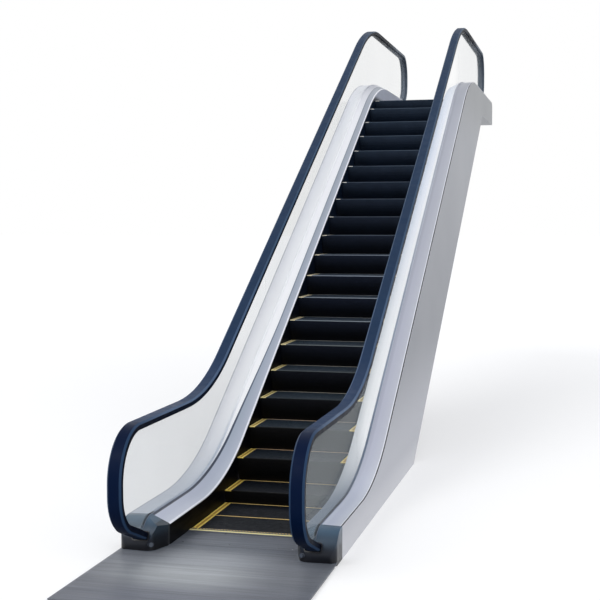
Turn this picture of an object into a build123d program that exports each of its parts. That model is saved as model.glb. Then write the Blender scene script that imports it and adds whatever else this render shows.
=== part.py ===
from build123d import *
import os
from math import asin, cos, pi, radians, sin, tan

# Escalator with glass balustrades between two floors, in millimetres.
# X runs across, Y runs up the incline, Z is up and ground is Z = 0.
# The origin is on the ground under the middle of the lower comb line.

# Travel
INCLINE = radians(30)
CHAIN_PITCH = 400
TOTAL_RISE = 3880
LOWER_FLOOR = 20
UPPER_FLOOR = LOWER_FLOOR + TOTAL_RISE
INCLINE_FOOT = 675.5
LOWER_STEP_RADIUS = 1000
UPPER_STEP_RADIUS = 1500
FIRST_NOSING = -330.5
LOWER_COMB = 0
UPPER_COMB = 8900

# Steps
STEP_WIDTH = 920
STEP_GAP = 5
TREAD_DEPTH = CHAIN_PITCH - STEP_GAP
TREAD_THICKNESS = 30
RISER_THICKNESS = 12
RISER_SWEEP = radians(31)
BRACKET_THICKNESS = 10
BRACKET_INSET = 20
BRACKET_SWEEP = radians(29)
AXLE_RADIUS = 10
AXLE_SEAT = 0.3
AXLE_BLOCK = 24
AXLE_BACK = 330
AXLE_DEPTH = 110
EDGE_STRIP = 50
REAR_STRIP = 14
STRIP_THICKNESS = 1
LOWER_STEPS = 4
UPPER_STEPS = 5

# Balustrade across
SKIRT_INNER = 465
SKIRT_THICKNESS = 4
GLASS_PLANE = 607
GLASS_THICKNESS = 12
CLAMP_WIDTH = 20
OUTER_FACE = 762
CLADDING_THICKNESS = 6
DECK_THICKNESS = 4
SHEET_THICKNESS = 4

# Heights of the deck lip over the lower floor, the upper floor and the nosing line
LIP_LOW = 145
LIP_HIGH = 200
LIP_ABOVE_NOSING = 25
DECK_RISE = 60
DECK_LOWER_RADIUS = 2200
DECK_UPPER_RADIUS = 2600
SKIRT_FOOT_DEPTH = 270
SKIRT_FOOT_HIGH = 75

# Glass and clamp
CLAMP_STAND = 6
CLAMP_DEPTH = 55
GLASS_SEAT = 40
GLASS_JOINT = 3
GLASS_PANEL_COUNT = 4

# Handrail, measured to its outer surface
HANDRAIL_LOW = 900
HANDRAIL_HIGH = 980
HANDRAIL_ABOVE_NOSING = 829
HANDRAIL_LOWER_RADIUS = 2000
HANDRAIL_UPPER_RADIUS = 2600
HANDRAIL_WIDTH = 100
HANDRAIL_THICKNESS = 45
HANDRAIL_EDGE = 13
GUIDE_WIDTH = 40
GUIDE_HEIGHT = 15
LOWER_NEWEL_FRONT = -1050
UPPER_NEWEL_FRONT = 10830
NEWEL_RADIUS = 360
NEWEL_FLAT = 74.5
KNEE_RADIUS = 300
INLET_INCLINE = radians(22)
RETURN_LOW = 50
RETURN_HIGH = 82.5
RETURN_BELOW_NOSING = 116
RETURN_RADIUS = 2000
INLET_RADIUS = 250

# Newel caps and handrail inlets
CAP_LENGTH = 118.5
CAP_FLANK_REACH = 40
CAP_INNER_REACH = 208
CAP_INNER_ACROSS = 522
CAP_OUTER_REACH = 195
CAP_INNER_CORNER = 70
CAP_OUTER_CORNER = 50
CAP_FRONT_RADIUS = 180
CAP_SLOT_CLEARANCE = 1
COLLAR_WALL = 8
COLLAR_CLEARANCE = 4
COLLAR_CORNER = 9
COLLAR_START = 85
COLLAR_REACH = 60
GUIDE_GAP = 2
COLLAR_SEAT = 0.3
BUTTON_RADIUS = 14
BUTTON_LENGTH = 12
BUTTON_HEIGHT = 45

# Floor and truss envelope
FLOOR_FRONT = -1700
FLOOR_END = 11100
KERB_WIDTH = 70
KERB_RADIUS = 120
PLATE_THICKNESS = 6
COMB_PLATE_LENGTH = 300
COMB_LENGTH = 60
COMB_TOOTH_LENGTH = 34
COMB_TOOTH_PITCH = 23
COMB_TOOTH_WIDTH = 9
COMB_TOOTH_HEIGHT = 3
COMB_CLEARANCE = 0.3
PLATE_GAP = 2
UNDERSIDE_DEPTH = 1270
STUB_DEPTH = 90
BASE_BAR = 120
BASE_BAYS = 3
RIB_THICKNESS = 10
RIB_SPACING = 290
RIB_COUNT = 6
FRAME_FIRST = 2000
FRAME_PITCH = 1200
FRAME_COUNT = 5
FRAME_AT_LANDING = 8600
FRAME_THICKNESS = 12
FRAME_INNER = 530
FRAME_SLOT_CLEARANCE = 12
CHAIN_WIDTH = 20
CHAIN_INNER = 475
CHAIN_HEIGHT = 40
TRACK_THICKNESS = 8
TRACK_WIDTH = 60
TRACK_INNER = 465
CHAIN_END = 9080
ANGLE_LENGTH = 1400
ANGLE_REACH = 120
ANGLE_THICKNESS = 12
ANGLE_DEPTH = 60

SLOPE = tan(INCLINE)
CUT = 4 * TOTAL_RISE
SIDES = (("left", -1), ("right", 1))
DECK_BASE_LOW = LIP_LOW + DECK_RISE
DECK_BASE_HIGH = LIP_HIGH + DECK_RISE
DECK_BASE_ABOVE_NOSING = LIP_ABOVE_NOSING + DECK_RISE / cos(INCLINE)


def bend_at(height, above_nosing):
    """Y where a level line at this height meets the incline line of that offset."""
    return INCLINE_FOOT + (height - LOWER_FLOOR - above_nosing) / SLOPE


def line_bends(low, high, above_nosing):
    """The two bends of a line that is level, then inclined, then level."""
    bottom = LOWER_FLOOR + low
    top = UPPER_FLOOR + high
    return (bend_at(bottom, above_nosing), bottom), (bend_at(top, above_nosing), top)


def height_at(y, low, high, above_nosing):
    """Height of such a line at y, with sharp bends."""
    incline = LOWER_FLOOR + (y - INCLINE_FOOT) * SLOPE + above_nosing
    return min(max(LOWER_FLOOR + low, incline), UPPER_FLOOR + high)


def deck_line(drop):
    """Offsets of a line at a square distance below the deck's foot at the glass."""
    return DECK_BASE_LOW - drop, DECK_BASE_HIGH - drop, DECK_BASE_ABOVE_NOSING - drop / cos(INCLINE)


def side_plane(side, inner):
    """Plane at the inner face of a piece on one side, facing away from the steps."""
    return Plane(origin=(side * inner, 0, 0), x_dir=(0, 1, 0), z_dir=(side, 0, 0))


def side_points(side, points):
    """Points (y, z) in the coordinates of side_plane."""
    return [(y, side * z) for y, z in points]


def band(side, top_line, foot_line, ends, top_radii, foot_radii):
    """Outline between two bent lines, between two ends along Y."""
    top_low, top_high = line_bends(*top_line)
    foot_low, foot_high = line_bends(*foot_line)
    start, stop = ends
    corners = [
        (start, top_low[1]), top_low, top_high, (stop, top_high[1]),
        (stop, foot_high[1]), foot_high, foot_low, (start, foot_low[1]),
    ]
    radii = [0, top_radii[0], top_radii[1], 0, 0, foot_radii[1], foot_radii[0], 0]
    FilletPolyline(*side_points(side, corners), radius=radii, close=True)


# Newel geometry: corners of the handrail loop at a distance inside its outer surface
KNEE_CORNER = tan((pi / 2 - INLET_INCLINE) / 2)
INLET_CORNER = tan(INLET_INCLINE / 2)
INLET_SLOPE = tan(INLET_INCLINE)


def newel_corners(front, toward, top, foot, inset):
    """Top, front and inlet corners of one end of the loop; toward is -1 below, 1 above."""
    knee = top - NEWEL_RADIUS - NEWEL_FLAT - KNEE_RADIUS * KNEE_CORNER
    face = front - toward * inset
    knee_z = knee + inset * KNEE_CORNER
    run = (knee_z - foot - inset) / INLET_SLOPE
    return (face, top - inset), (face, knee_z), (face - toward * run, foot + inset)


def loop_corners(inset):
    """Corners and radii of the whole handrail loop at a distance inside its outer surface."""
    lean = inset / cos(INCLINE)
    top_low, top_high = line_bends(HANDRAIL_LOW - inset, HANDRAIL_HIGH - inset, HANDRAIL_ABOVE_NOSING - lean)
    back_low, back_high = line_bends(RETURN_LOW + inset, RETURN_HIGH + inset, lean - RETURN_BELOW_NOSING)
    low = newel_corners(LOWER_NEWEL_FRONT, -1, LOWER_FLOOR + HANDRAIL_LOW, LOWER_FLOOR + RETURN_LOW, inset)
    high = newel_corners(UPPER_NEWEL_FRONT, 1, UPPER_FLOOR + HANDRAIL_HIGH, UPPER_FLOOR + RETURN_HIGH, inset)
    corners = [top_low, top_high, *high, back_high, back_low, *reversed(low)]
    newel = NEWEL_RADIUS - inset
    knee = KNEE_RADIUS - inset
    inlet = INLET_RADIUS - inset
    radii = [
        HANDRAIL_LOWER_RADIUS + inset, HANDRAIL_UPPER_RADIUS - inset, newel, knee, inlet,
        RETURN_RADIUS + inset, RETURN_RADIUS - inset, inlet, knee, newel,
    ]
    return corners, radii


CENTRE_INSET = HANDRAIL_THICKNESS / 2
LOWER_INLET = newel_corners(
    LOWER_NEWEL_FRONT, -1, LOWER_FLOOR + HANDRAIL_LOW, LOWER_FLOOR + RETURN_LOW, CENTRE_INSET)[2]
UPPER_INLET = newel_corners(
    UPPER_NEWEL_FRONT, 1, UPPER_FLOOR + HANDRAIL_HIGH, UPPER_FLOOR + RETURN_HIGH, CENTRE_INSET)[2]
LOWER_CAP_BACK = LOWER_INLET[0] + CAP_LENGTH
UPPER_CAP_BACK = UPPER_INLET[0] - CAP_LENGTH
BALUSTRADE = (LOWER_CAP_BACK, UPPER_CAP_BACK)
FRAME_HALF = OUTER_FACE - CLADDING_THICKNESS

os.makedirs("parts", exist_ok=True)


def finish(builder, name):
    """Label a piece and write it."""
    builder.part.label = name
    export_step(builder.part, f"parts/{name}.step")


# Steps: each keeps its tread level while its nosing follows the step path
LOWER_ARC = LOWER_STEP_RADIUS * INCLINE
UPPER_ARC = UPPER_STEP_RADIUS * INCLINE
LOWER_TANGENT = INCLINE_FOOT - LOWER_STEP_RADIUS * tan(INCLINE / 2)
PATH_TOP = INCLINE_FOOT + TOTAL_RISE / SLOPE
INCLINE_START = INCLINE_FOOT + LOWER_STEP_RADIUS * tan(INCLINE / 2) * cos(INCLINE)
INCLINE_STOP = PATH_TOP - UPPER_STEP_RADIUS * tan(INCLINE / 2) * cos(INCLINE)
UPPER_TANGENT = PATH_TOP + UPPER_STEP_RADIUS * tan(INCLINE / 2)
STRAIGHT = (INCLINE_STOP - INCLINE_START) / cos(INCLINE)


def nosing_at(travel):
    """Nosing position (y, z) after a distance along the step path from the lower comb."""
    along = travel - LOWER_TANGENT
    if along < 0:
        return travel, LOWER_FLOOR
    if along < LOWER_ARC:
        turn = along / LOWER_STEP_RADIUS
        return LOWER_TANGENT + LOWER_STEP_RADIUS * sin(turn), LOWER_FLOOR + LOWER_STEP_RADIUS * (1 - cos(turn))
    along -= LOWER_ARC
    if along < STRAIGHT:
        y = INCLINE_START + along * cos(INCLINE)
        return y, LOWER_FLOOR + (y - INCLINE_FOOT) * SLOPE
    along -= STRAIGHT
    if along < UPPER_ARC:
        turn = (UPPER_ARC - along) / UPPER_STEP_RADIUS
        return UPPER_TANGENT - UPPER_STEP_RADIUS * sin(turn), UPPER_FLOOR - UPPER_STEP_RADIUS * (1 - cos(turn))
    return UPPER_TANGENT + along - UPPER_ARC, UPPER_FLOOR


nosings = []
travel = FIRST_NOSING
while nosing_at(travel)[0] < UPPER_COMB - TREAD_DEPTH / 2:
    nosings.append(nosing_at(travel))
    travel += CHAIN_PITCH

INNER_RADIUS = TREAD_DEPTH - RISER_THICKNESS
MIDDLE_RADIUS = TREAD_DEPTH - RISER_THICKNESS / 2
INNER_START = asin(TREAD_THICKNESS / INNER_RADIUS)


def riser_point(radius, turn):
    """Point on an arc about the tread's rear edge, at an angle below the tread."""
    return TREAD_DEPTH - radius * cos(turn), -radius * sin(turn)


with BuildPart() as step:
    with BuildSketch(Plane.YZ.offset(-STEP_WIDTH / 2)):
        with BuildLine():
            inner_top = riser_point(INNER_RADIUS, INNER_START)
            inner_foot = riser_point(INNER_RADIUS, RISER_SWEEP)
            riser_foot = riser_point(TREAD_DEPTH, RISER_SWEEP)
            Polyline((0, 0), (TREAD_DEPTH, 0), (TREAD_DEPTH, -TREAD_THICKNESS), inner_top)
            ThreePointArc(inner_top, riser_point(INNER_RADIUS, (INNER_START + RISER_SWEEP) / 2), inner_foot)
            Line(inner_foot, riser_foot)
            ThreePointArc(riser_foot, riser_point(TREAD_DEPTH, RISER_SWEEP / 2), (0, 0))
        make_face()
    extrude(amount=STEP_WIDTH)
    # Each bracket starts inside the riser and the tread and holds the axle
    for x in (-STEP_WIDTH / 2 + BRACKET_INSET, STEP_WIDTH / 2 - BRACKET_INSET - BRACKET_THICKNESS):
        with BuildSketch(Plane.YZ.offset(x)):
            with BuildLine():
                Polyline(
                    riser_point(MIDDLE_RADIUS, INNER_START / 2), riser_point(MIDDLE_RADIUS, BRACKET_SWEEP / 2),
                    riser_point(MIDDLE_RADIUS, BRACKET_SWEEP),
                    (AXLE_BACK - AXLE_BLOCK, -AXLE_DEPTH - AXLE_BLOCK),
                    (AXLE_BACK + AXLE_BLOCK, -AXLE_DEPTH - AXLE_BLOCK),
                    (TREAD_DEPTH - AXLE_BLOCK, -TREAD_THICKNESS / 2),
                    close=True,
                )
            make_face()
        extrude(amount=BRACKET_THICKNESS)
    with Locations((0, AXLE_BACK, -AXLE_DEPTH)):
        Cylinder(AXLE_RADIUS, 2 * (CHAIN_INNER + CHAIN_WIDTH), rotation=(0, 90, 0))

with BuildPart() as step_edge:
    with BuildSketch():
        with Locations((0, TREAD_DEPTH / 2)):
            Rectangle(STEP_WIDTH, TREAD_DEPTH)
        with Locations((0, (TREAD_DEPTH - REAR_STRIP) / 2)):
            Rectangle(STEP_WIDTH - 2 * EDGE_STRIP, TREAD_DEPTH - REAR_STRIP, mode=Mode.SUBTRACT)
    extrude(amount=STRIP_THICKNESS)

groups = {
    "steps_lower": nosings[:LOWER_STEPS],
    "steps_incline": nosings[LOWER_STEPS:-UPPER_STEPS],
    "steps_upper": nosings[-UPPER_STEPS:],
}
LADDER_TOP = LOWER_FLOOR - PLATE_THICKNESS
LADDER_END = nosings[2][0] + TREAD_DEPTH
LOWER_TRIM = LOWER_COMB + COMB_LENGTH / 2 + COMB_CLEARANCE
UPPER_TRIM = UPPER_COMB - COMB_LENGTH / 2 - COMB_CLEARANCE


def trim_to_combs():
    """Cut away what would lie under the ground, in the base frame or beyond the combs."""
    with Locations((0, 0, -CUT / 2)):
        Box(CUT, 2 * CUT, CUT, mode=Mode.SUBTRACT)
    with Locations((0, LADDER_END - CUT / 2, LADDER_TOP - CUT / 2)):
        Box(CUT, CUT, CUT, mode=Mode.SUBTRACT)
    with Locations((0, LOWER_TRIM - CUT / 2, 0)):
        Box(CUT, CUT, CUT, mode=Mode.SUBTRACT)
    with Locations((0, UPPER_TRIM + CUT / 2, 0)):
        Box(CUT, CUT, 2 * CUT, mode=Mode.SUBTRACT)


for name, places in groups.items():
    with BuildPart() as steps:
        with Locations(*[(0, y, z) for y, z in places]):
            add(step.part)
        trim_to_combs()
    finish(steps, name)

with BuildPart() as step_edges:
    with Locations(*[(0, y, z) for y, z in nosings]):
        add(step_edge.part)
    trim_to_combs()
finish(step_edges, "step_edges")


# Step chain and its track lie under the axles, which follow the step path
def axle_line(drop):
    """Offsets of a line at a square distance below the axle centres."""
    fall = AXLE_DEPTH + drop
    return -fall, -fall, -AXLE_DEPTH - AXLE_BACK * SLOPE - drop / cos(INCLINE)


def axle_band(side, top_drop, foot_drop):
    """Outline of a strip between two distances below the axle centres."""
    top_radii = (LOWER_STEP_RADIUS + top_drop, UPPER_STEP_RADIUS - top_drop)
    foot_radii = (LOWER_STEP_RADIUS + foot_drop, UPPER_STEP_RADIUS - foot_drop)
    ends = (LOWER_CAP_BACK, CHAIN_END)
    band(side, axle_line(top_drop), axle_line(foot_drop), ends, top_radii, foot_radii)


def cut_below_ground():
    """Cut away what would lie under the ground."""
    with Locations((0, 0, -CUT / 2)):
        Box(CUT, 2 * CUT, CUT, mode=Mode.SUBTRACT)


CHAIN_TOP = AXLE_RADIUS + AXLE_SEAT
CHAIN_FOOT = CHAIN_TOP + CHAIN_HEIGHT
TRACK_FOOT = CHAIN_FOOT + TRACK_THICKNESS
with BuildPart() as step_chains:
    for label, side in SIDES:
        with BuildSketch(side_plane(side, CHAIN_INNER)):
            with BuildLine():
                axle_band(side, CHAIN_TOP, CHAIN_FOOT)
            make_face()
        extrude(amount=CHAIN_WIDTH)
    cut_below_ground()
finish(step_chains, "step_chains")

with BuildPart() as step_tracks:
    for label, side in SIDES:
        with BuildSketch(side_plane(side, TRACK_INNER)):
            with BuildLine():
                axle_band(side, CHAIN_FOOT, TRACK_FOOT)
            make_face()
        extrude(amount=TRACK_WIDTH)
    cut_below_ground()
finish(step_tracks, "step_tracks")


# Balustrade pieces, one of each on either side
LIP_LINE = (LIP_LOW, LIP_HIGH, LIP_ABOVE_NOSING)
FOOT_LINE = (-LOWER_FLOOR, -SKIRT_FOOT_HIGH, -SKIRT_FOOT_DEPTH)
DECK_RADII = (DECK_LOWER_RADIUS, DECK_UPPER_RADIUS)
STEP_RADII = (LOWER_STEP_RADIUS, UPPER_STEP_RADIUS)
CLAMP_INNER = GLASS_PLANE - CLAMP_WIDTH / 2
CLAMP_OUTER = GLASS_PLANE + CLAMP_WIDTH / 2


def deck_radii(drop):
    """Bend radii of a line at a square distance below the deck's foot at the glass."""
    return DECK_LOWER_RADIUS - DECK_RISE + drop, DECK_UPPER_RADIUS + DECK_RISE - drop


def deck_band(side, top_drop, foot_drop, ends=BALUSTRADE):
    """Outline between two lines parallel to the deck."""
    band(side, deck_line(top_drop), deck_line(foot_drop), ends, deck_radii(top_drop), deck_radii(foot_drop))


for label, side in SIDES:
    with BuildPart() as skirt:
        with BuildSketch(side_plane(side, SKIRT_INNER)):
            with BuildLine():
                band(side, LIP_LINE, FOOT_LINE, BALUSTRADE, DECK_RADII, STEP_RADII)
            make_face()
        extrude(amount=SKIRT_THICKNESS)
    finish(skirt, f"skirt_{label}")

    with BuildPart() as inner_deck:
        with BuildLine() as deck_path:
            low, high = line_bends(*LIP_LINE)
            points = [(LOWER_CAP_BACK, low[1]), low, high, (UPPER_CAP_BACK, high[1])]
            FilletPolyline(*[(0, y, z) for y, z in points], radius=DECK_RADII)
        with BuildSketch(Plane(origin=(0, *points[0]), x_dir=(1, 0, 0), z_dir=(0, 1, 0))):
            with BuildLine():
                Polyline(
                    (side * SKIRT_INNER, 0), (side * CLAMP_INNER, -DECK_RISE),
                    (side * CLAMP_INNER, -DECK_RISE - DECK_THICKNESS), (side * SKIRT_INNER, -DECK_THICKNESS),
                    close=True,
                )
            make_face()
        sweep(path=deck_path.wire())
    finish(inner_deck, f"inner_deck_{label}")

    with BuildPart() as outer_deck:
        with BuildSketch(side_plane(side, CLAMP_OUTER)):
            with BuildLine():
                deck_band(side, 0, DECK_THICKNESS)
            make_face()
        extrude(amount=OUTER_FACE - CLAMP_OUTER)
    finish(outer_deck, f"outer_deck_{label}")

    with BuildPart() as glass_clamp:
        with BuildSketch(side_plane(side, CLAMP_INNER)):
            with BuildLine():
                deck_band(side, -CLAMP_STAND, CLAMP_DEPTH)
            make_face()
        extrude(amount=CLAMP_WIDTH)
        with BuildSketch(side_plane(side, GLASS_PLANE - GLASS_THICKNESS / 2)):
            with BuildLine():
                deck_band(side, -CLAMP_DEPTH, GLASS_SEAT)
            make_face()
        extrude(amount=GLASS_THICKNESS, mode=Mode.SUBTRACT)
    finish(glass_clamp, f"glass_clamp_{label}")

    # The glass reaches from its seat in the clamp to the handrail guide
    with BuildPart() as glass:
        inset = HANDRAIL_THICKNESS + GUIDE_HEIGHT
        seat_low, seat_high = line_bends(*deck_line(GLASS_SEAT))
        corners, radii = loop_corners(inset)
        high_knee, low_knee = corners[3], corners[8]
        high_run = (high_knee[1] - seat_high[1]) / INLET_SLOPE
        low_run = (low_knee[1] - seat_low[1]) / INLET_SLOPE
        outline = [
            corners[0], corners[1], corners[2], high_knee, (high_knee[0] - high_run, seat_high[1]), seat_high,
            seat_low, (low_knee[0] + low_run, seat_low[1]), low_knee, corners[9],
        ]
        seat_radii = deck_radii(GLASS_SEAT)
        outline_radii = [*radii[:4], 0, seat_radii[1], seat_radii[0], 0, radii[8], radii[9]]
        with BuildSketch(side_plane(side, GLASS_PLANE - GLASS_THICKNESS / 2)):
            with BuildLine():
                FilletPolyline(*side_points(side, outline), radius=outline_radii, close=True)
            make_face()
        extrude(amount=GLASS_THICKNESS)

    first_joint = seat_low[0]
    last_joint = seat_high[0]
    panel = (last_joint - first_joint) / GLASS_PANEL_COUNT
    joints = [first_joint + panel * n for n in range(GLASS_PANEL_COUNT + 1)]
    panes = {
        "lower_newel_glass": (LOWER_NEWEL_FRONT, joints[0]),
        "upper_newel_glass": (joints[-1], UPPER_NEWEL_FRONT),
    }
    for name, (start, stop) in panes.items():
        with BuildPart() as newel_glass:
            add(glass.part)
            with Locations((side * GLASS_PLANE, (start + stop) / 2, CUT / 4)):
                Box(2 * CLAMP_WIDTH, stop - start - GLASS_JOINT, CUT, mode=Mode.INTERSECT)
        finish(newel_glass, f"{name}_{label}")

    with BuildPart() as incline_glass:
        add(glass.part)
        with Locations(*[(side * GLASS_PLANE, start + panel / 2, CUT / 4) for start in joints[:-1]]):
            Box(2 * CLAMP_WIDTH, panel - GLASS_JOINT, CUT, mode=Mode.INTERSECT)
    finish(incline_glass, f"incline_glass_{label}")


# Handrails are closed loops; the way back lies under the outer deck
def along_inlet(corner, toward, inset, distance):
    """Point on the slanted run above an inlet, square to the handrail's middle line there."""
    reach = distance - INLET_CORNER * (inset - CENTRE_INSET)
    return corner[0] + toward * reach * cos(INLET_INCLINE), corner[1] + reach * sin(INLET_INCLINE)


def sleeve(side, toward, inlet, margin, start, reach):
    """Rounded bar round the handrail's bend into a cap, a margin wider than the handrail."""
    across = side * GLASS_PLANE
    mouth = along_inlet(inlet, toward, CENTRE_INSET, start)
    with BuildLine() as bend:
        points = [(across, *mouth), (across, *inlet), (across, inlet[0] - toward * reach, inlet[1])]
        FilletPolyline(*points, radius=INLET_RADIUS - CENTRE_INSET)
    inward = (0, -toward * cos(INLET_INCLINE), -sin(INLET_INCLINE))
    with BuildPart() as bar:
        with BuildSketch(Plane(origin=points[0], x_dir=(1, 0, 0), z_dir=inward)):
            width = HANDRAIL_WIDTH + 2 * margin
            height = HANDRAIL_THICKNESS + 2 * margin
            RectangleRounded(width, height, COLLAR_CORNER + margin - COLLAR_CLEARANCE)
        sweep(path=bend.wire())
    return bar.part


for label, side in SIDES:
    with BuildPart() as handrail:
        with BuildSketch(side_plane(side, GLASS_PLANE - HANDRAIL_WIDTH / 2)):
            for inset, mode in ((0, Mode.ADD), (HANDRAIL_THICKNESS, Mode.SUBTRACT)):
                corners, radii = loop_corners(inset)
                with BuildLine():
                    FilletPolyline(*side_points(side, corners), radius=radii, close=True)
                make_face(mode=mode)
        extrude(amount=HANDRAIL_WIDTH)
        rims = [face.outer_wire().edges() for face in handrail.faces().filter_by(Axis.X)]
        chamfer([edge for rim in rims for edge in rim], length=HANDRAIL_EDGE)
    finish(handrail, f"handrail_{label}")

    with BuildPart() as guide:
        with BuildSketch(side_plane(side, GLASS_PLANE - GUIDE_WIDTH / 2)):
            runs = []
            run_radii = []
            for inset in (HANDRAIL_THICKNESS, HANDRAIL_THICKNESS + GUIDE_HEIGHT):
                corners, radii = loop_corners(inset)
                reach = COLLAR_START + GUIDE_GAP
                start = along_inlet(corners[7], -1, inset, reach)
                stop = along_inlet(corners[4], 1, inset, reach)
                runs.append([start, corners[8], corners[9], *corners[:4], stop])
                run_radii.append([0, radii[8], radii[9], *radii[:4], 0])
            with BuildLine():
                outline = side_points(side, [*runs[0], *reversed(runs[1])])
                FilletPolyline(*outline, radius=[*run_radii[0], *reversed(run_radii[1])], close=True)
            make_face()
        extrude(amount=GUIDE_WIDTH)
    finish(guide, f"handrail_guide_{label}")


# Newel caps: rounded housings with a slot for the glass and a mouth for the handrail
LANDINGS = {
    "lower": (-1, LOWER_CAP_BACK, 0, LOWER_FLOOR, LIP_LOW, LOWER_INLET, OUTER_FACE),
    "upper": (1, UPPER_CAP_BACK, UPPER_FLOOR - PLATE_THICKNESS, UPPER_FLOOR, LIP_HIGH, UPPER_INLET, FRAME_HALF),
}


def cap_corners(side, toward, back, outer):
    """Plan corners of a cap's front: foot of the inner flank, inner corner, outer corner."""
    return (
        Vector(side * SKIRT_INNER, back + toward * CAP_FLANK_REACH),
        Vector(side * CAP_INNER_ACROSS, back + toward * CAP_INNER_REACH),
        Vector(side * outer, back + toward * CAP_OUTER_REACH),
    )


def cap_outline(side, toward, back, outer):
    """Plan of a cap: an inner flank and a slanted front with rounded corners."""
    FilletPolyline(
        (side * SKIRT_INNER, back), *cap_corners(side, toward, back, outer), (side * outer, back),
        radius=[0, 0, CAP_INNER_CORNER, CAP_OUTER_CORNER, 0], close=True)


buttons = []
for landing, (toward, back, ground, floor, lip, inlet, outer) in LANDINGS.items():
    shoulder = floor + lip + DECK_THICKNESS
    crown = shoulder + DECK_RISE
    seat = floor + lip + DECK_RISE - GLASS_SEAT
    margin = COLLAR_CLEARANCE + COLLAR_WALL
    for label, side in SIDES:
        with BuildPart() as cap:
            with BuildSketch(Plane.XY.offset(ground)):
                with BuildLine():
                    cap_outline(side, toward, back, outer)
                make_face()
            extrude(amount=crown - ground)
            flank, corner, outer_corner = cap_corners(side, toward, back, outer)
            with BuildSketch(Plane.YZ.offset(corner.X)):
                with BuildLine():
                    behind = back - toward * CAP_INNER_REACH
                    FilletPolyline(
                        (behind, ground), (behind, crown), (corner.Y, crown), (corner.Y, ground),
                        radius=[0, 0, CAP_FRONT_RADIUS, 0], close=True)
                make_face()
            front = (outer_corner - corner).normalized()
            extrude(amount=OUTER_FACE, dir=front, both=True, mode=Mode.INTERSECT)
            slope_plane = Plane(origin=(0, back, 0), x_dir=(1, 0, 0), z_dir=(0, -1, 0))
            with BuildSketch(slope_plane):
                with BuildLine():
                    Polyline(
                        (side * SKIRT_INNER, shoulder), (side * CLAMP_INNER, crown),
                        (side * CLAMP_INNER, crown + DECK_RISE), (side * (SKIRT_INNER - DECK_RISE), crown + DECK_RISE),
                        (side * (SKIRT_INNER - DECK_RISE), shoulder), close=True,
                    )
                make_face()
            extrude(amount=2 * CAP_INNER_REACH, both=True, mode=Mode.SUBTRACT)
            with BuildSketch(slope_plane):
                with BuildLine():
                    Polyline(
                        (side * CLAMP_OUTER, crown), (side * OUTER_FACE, crown - DECK_THICKNESS),
                        (side * OUTER_FACE, crown + DECK_RISE), (side * CLAMP_OUTER, crown + DECK_RISE),
                        close=True,
                    )
                make_face()
            extrude(amount=2 * CAP_INNER_REACH, both=True, mode=Mode.SUBTRACT)
            hole = sleeve(side, toward, inlet, margin + COLLAR_SEAT, CAP_INNER_REACH, COLLAR_REACH)
            add(hole, mode=Mode.SUBTRACT)
            with Locations((side * GLASS_PLANE, back, inlet[1])):
                way = 2 * COLLAR_CLEARANCE
                Box(HANDRAIL_WIDTH + way, 2 * CAP_LENGTH, HANDRAIL_THICKNESS + way, mode=Mode.SUBTRACT)
            slot = GLASS_THICKNESS + 2 * CAP_SLOT_CLEARANCE
            with Locations((side * GLASS_PLANE, back + toward * CAP_INNER_REACH / 2, seat + CUT / 2 - COLLAR_SEAT)):
                Box(slot, 2 * CAP_INNER_REACH, CUT, mode=Mode.SUBTRACT)
        finish(cap, f"{landing}_newel_cap_{label}")

        # The stop button stands square on the middle of the rounded inner corner
        to_flank = (flank - corner).normalized()
        inward = (to_flank + front).normalized()
        half_turn = radians(to_flank.get_angle(front) / 2)
        middle = corner + inward * CAP_INNER_CORNER * (1 / sin(half_turn) - 1)
        with BuildPart() as button:
            with Locations(Plane(origin=(middle.X, middle.Y, floor + BUTTON_HEIGHT), z_dir=inward)):
                Cylinder(BUTTON_RADIUS, 2 * BUTTON_LENGTH)
            add(cap.part, mode=Mode.SUBTRACT)
        buttons.append(button.part)

    with BuildPart() as collars:
        for label, side in SIDES:
            add(sleeve(side, toward, inlet, margin, COLLAR_START, COLLAR_REACH))
            opening = sleeve(side, toward, inlet, COLLAR_CLEARANCE, CAP_INNER_REACH, CAP_LENGTH)
            add(opening, mode=Mode.SUBTRACT)
    finish(collars, f"{landing}_handrail_inlets")

    # Floor plate cut round the caps, the comb plate and the comb
    comb = LOWER_COMB if toward < 0 else UPPER_COMB
    comb_back = comb + toward * COMB_LENGTH / 2
    plate_back = comb_back + toward * COMB_PLATE_LENGTH
    end = FLOOR_FRONT if toward < 0 else FLOOR_END
    inner_width = 2 * (SKIRT_INNER - PLATE_GAP)
    with BuildPart() as floor_plate:
        with BuildSketch(Plane.XY.offset(floor - PLATE_THICKNESS)):
            with Locations((0, (plate_back + end) / 2)):
                Rectangle(inner_width, abs(end - plate_back))
            with Locations((0, (back + toward * PLATE_GAP + end) / 2)):
                Rectangle(2 * outer, abs(end - back) - PLATE_GAP)
            for label, side in SIDES:
                with BuildSketch(mode=Mode.PRIVATE) as cap_plan:
                    with BuildLine():
                        cap_outline(side, toward, back, outer)
                    make_face()
                    offset(amount=PLATE_GAP, kind=Kind.INTERSECTION)
                add(cap_plan.sketch, mode=Mode.SUBTRACT)
        extrude(amount=PLATE_THICKNESS)
    finish(floor_plate, f"{landing}_floor_plate")

    with BuildPart() as comb_plate:
        with Locations((0, (plate_back + comb_back) / 2, floor - PLATE_THICKNESS / 2)):
            Box(inner_width, COMB_PLATE_LENGTH, PLATE_THICKNESS)
    finish(comb_plate, f"{landing}_comb_plate")

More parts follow.
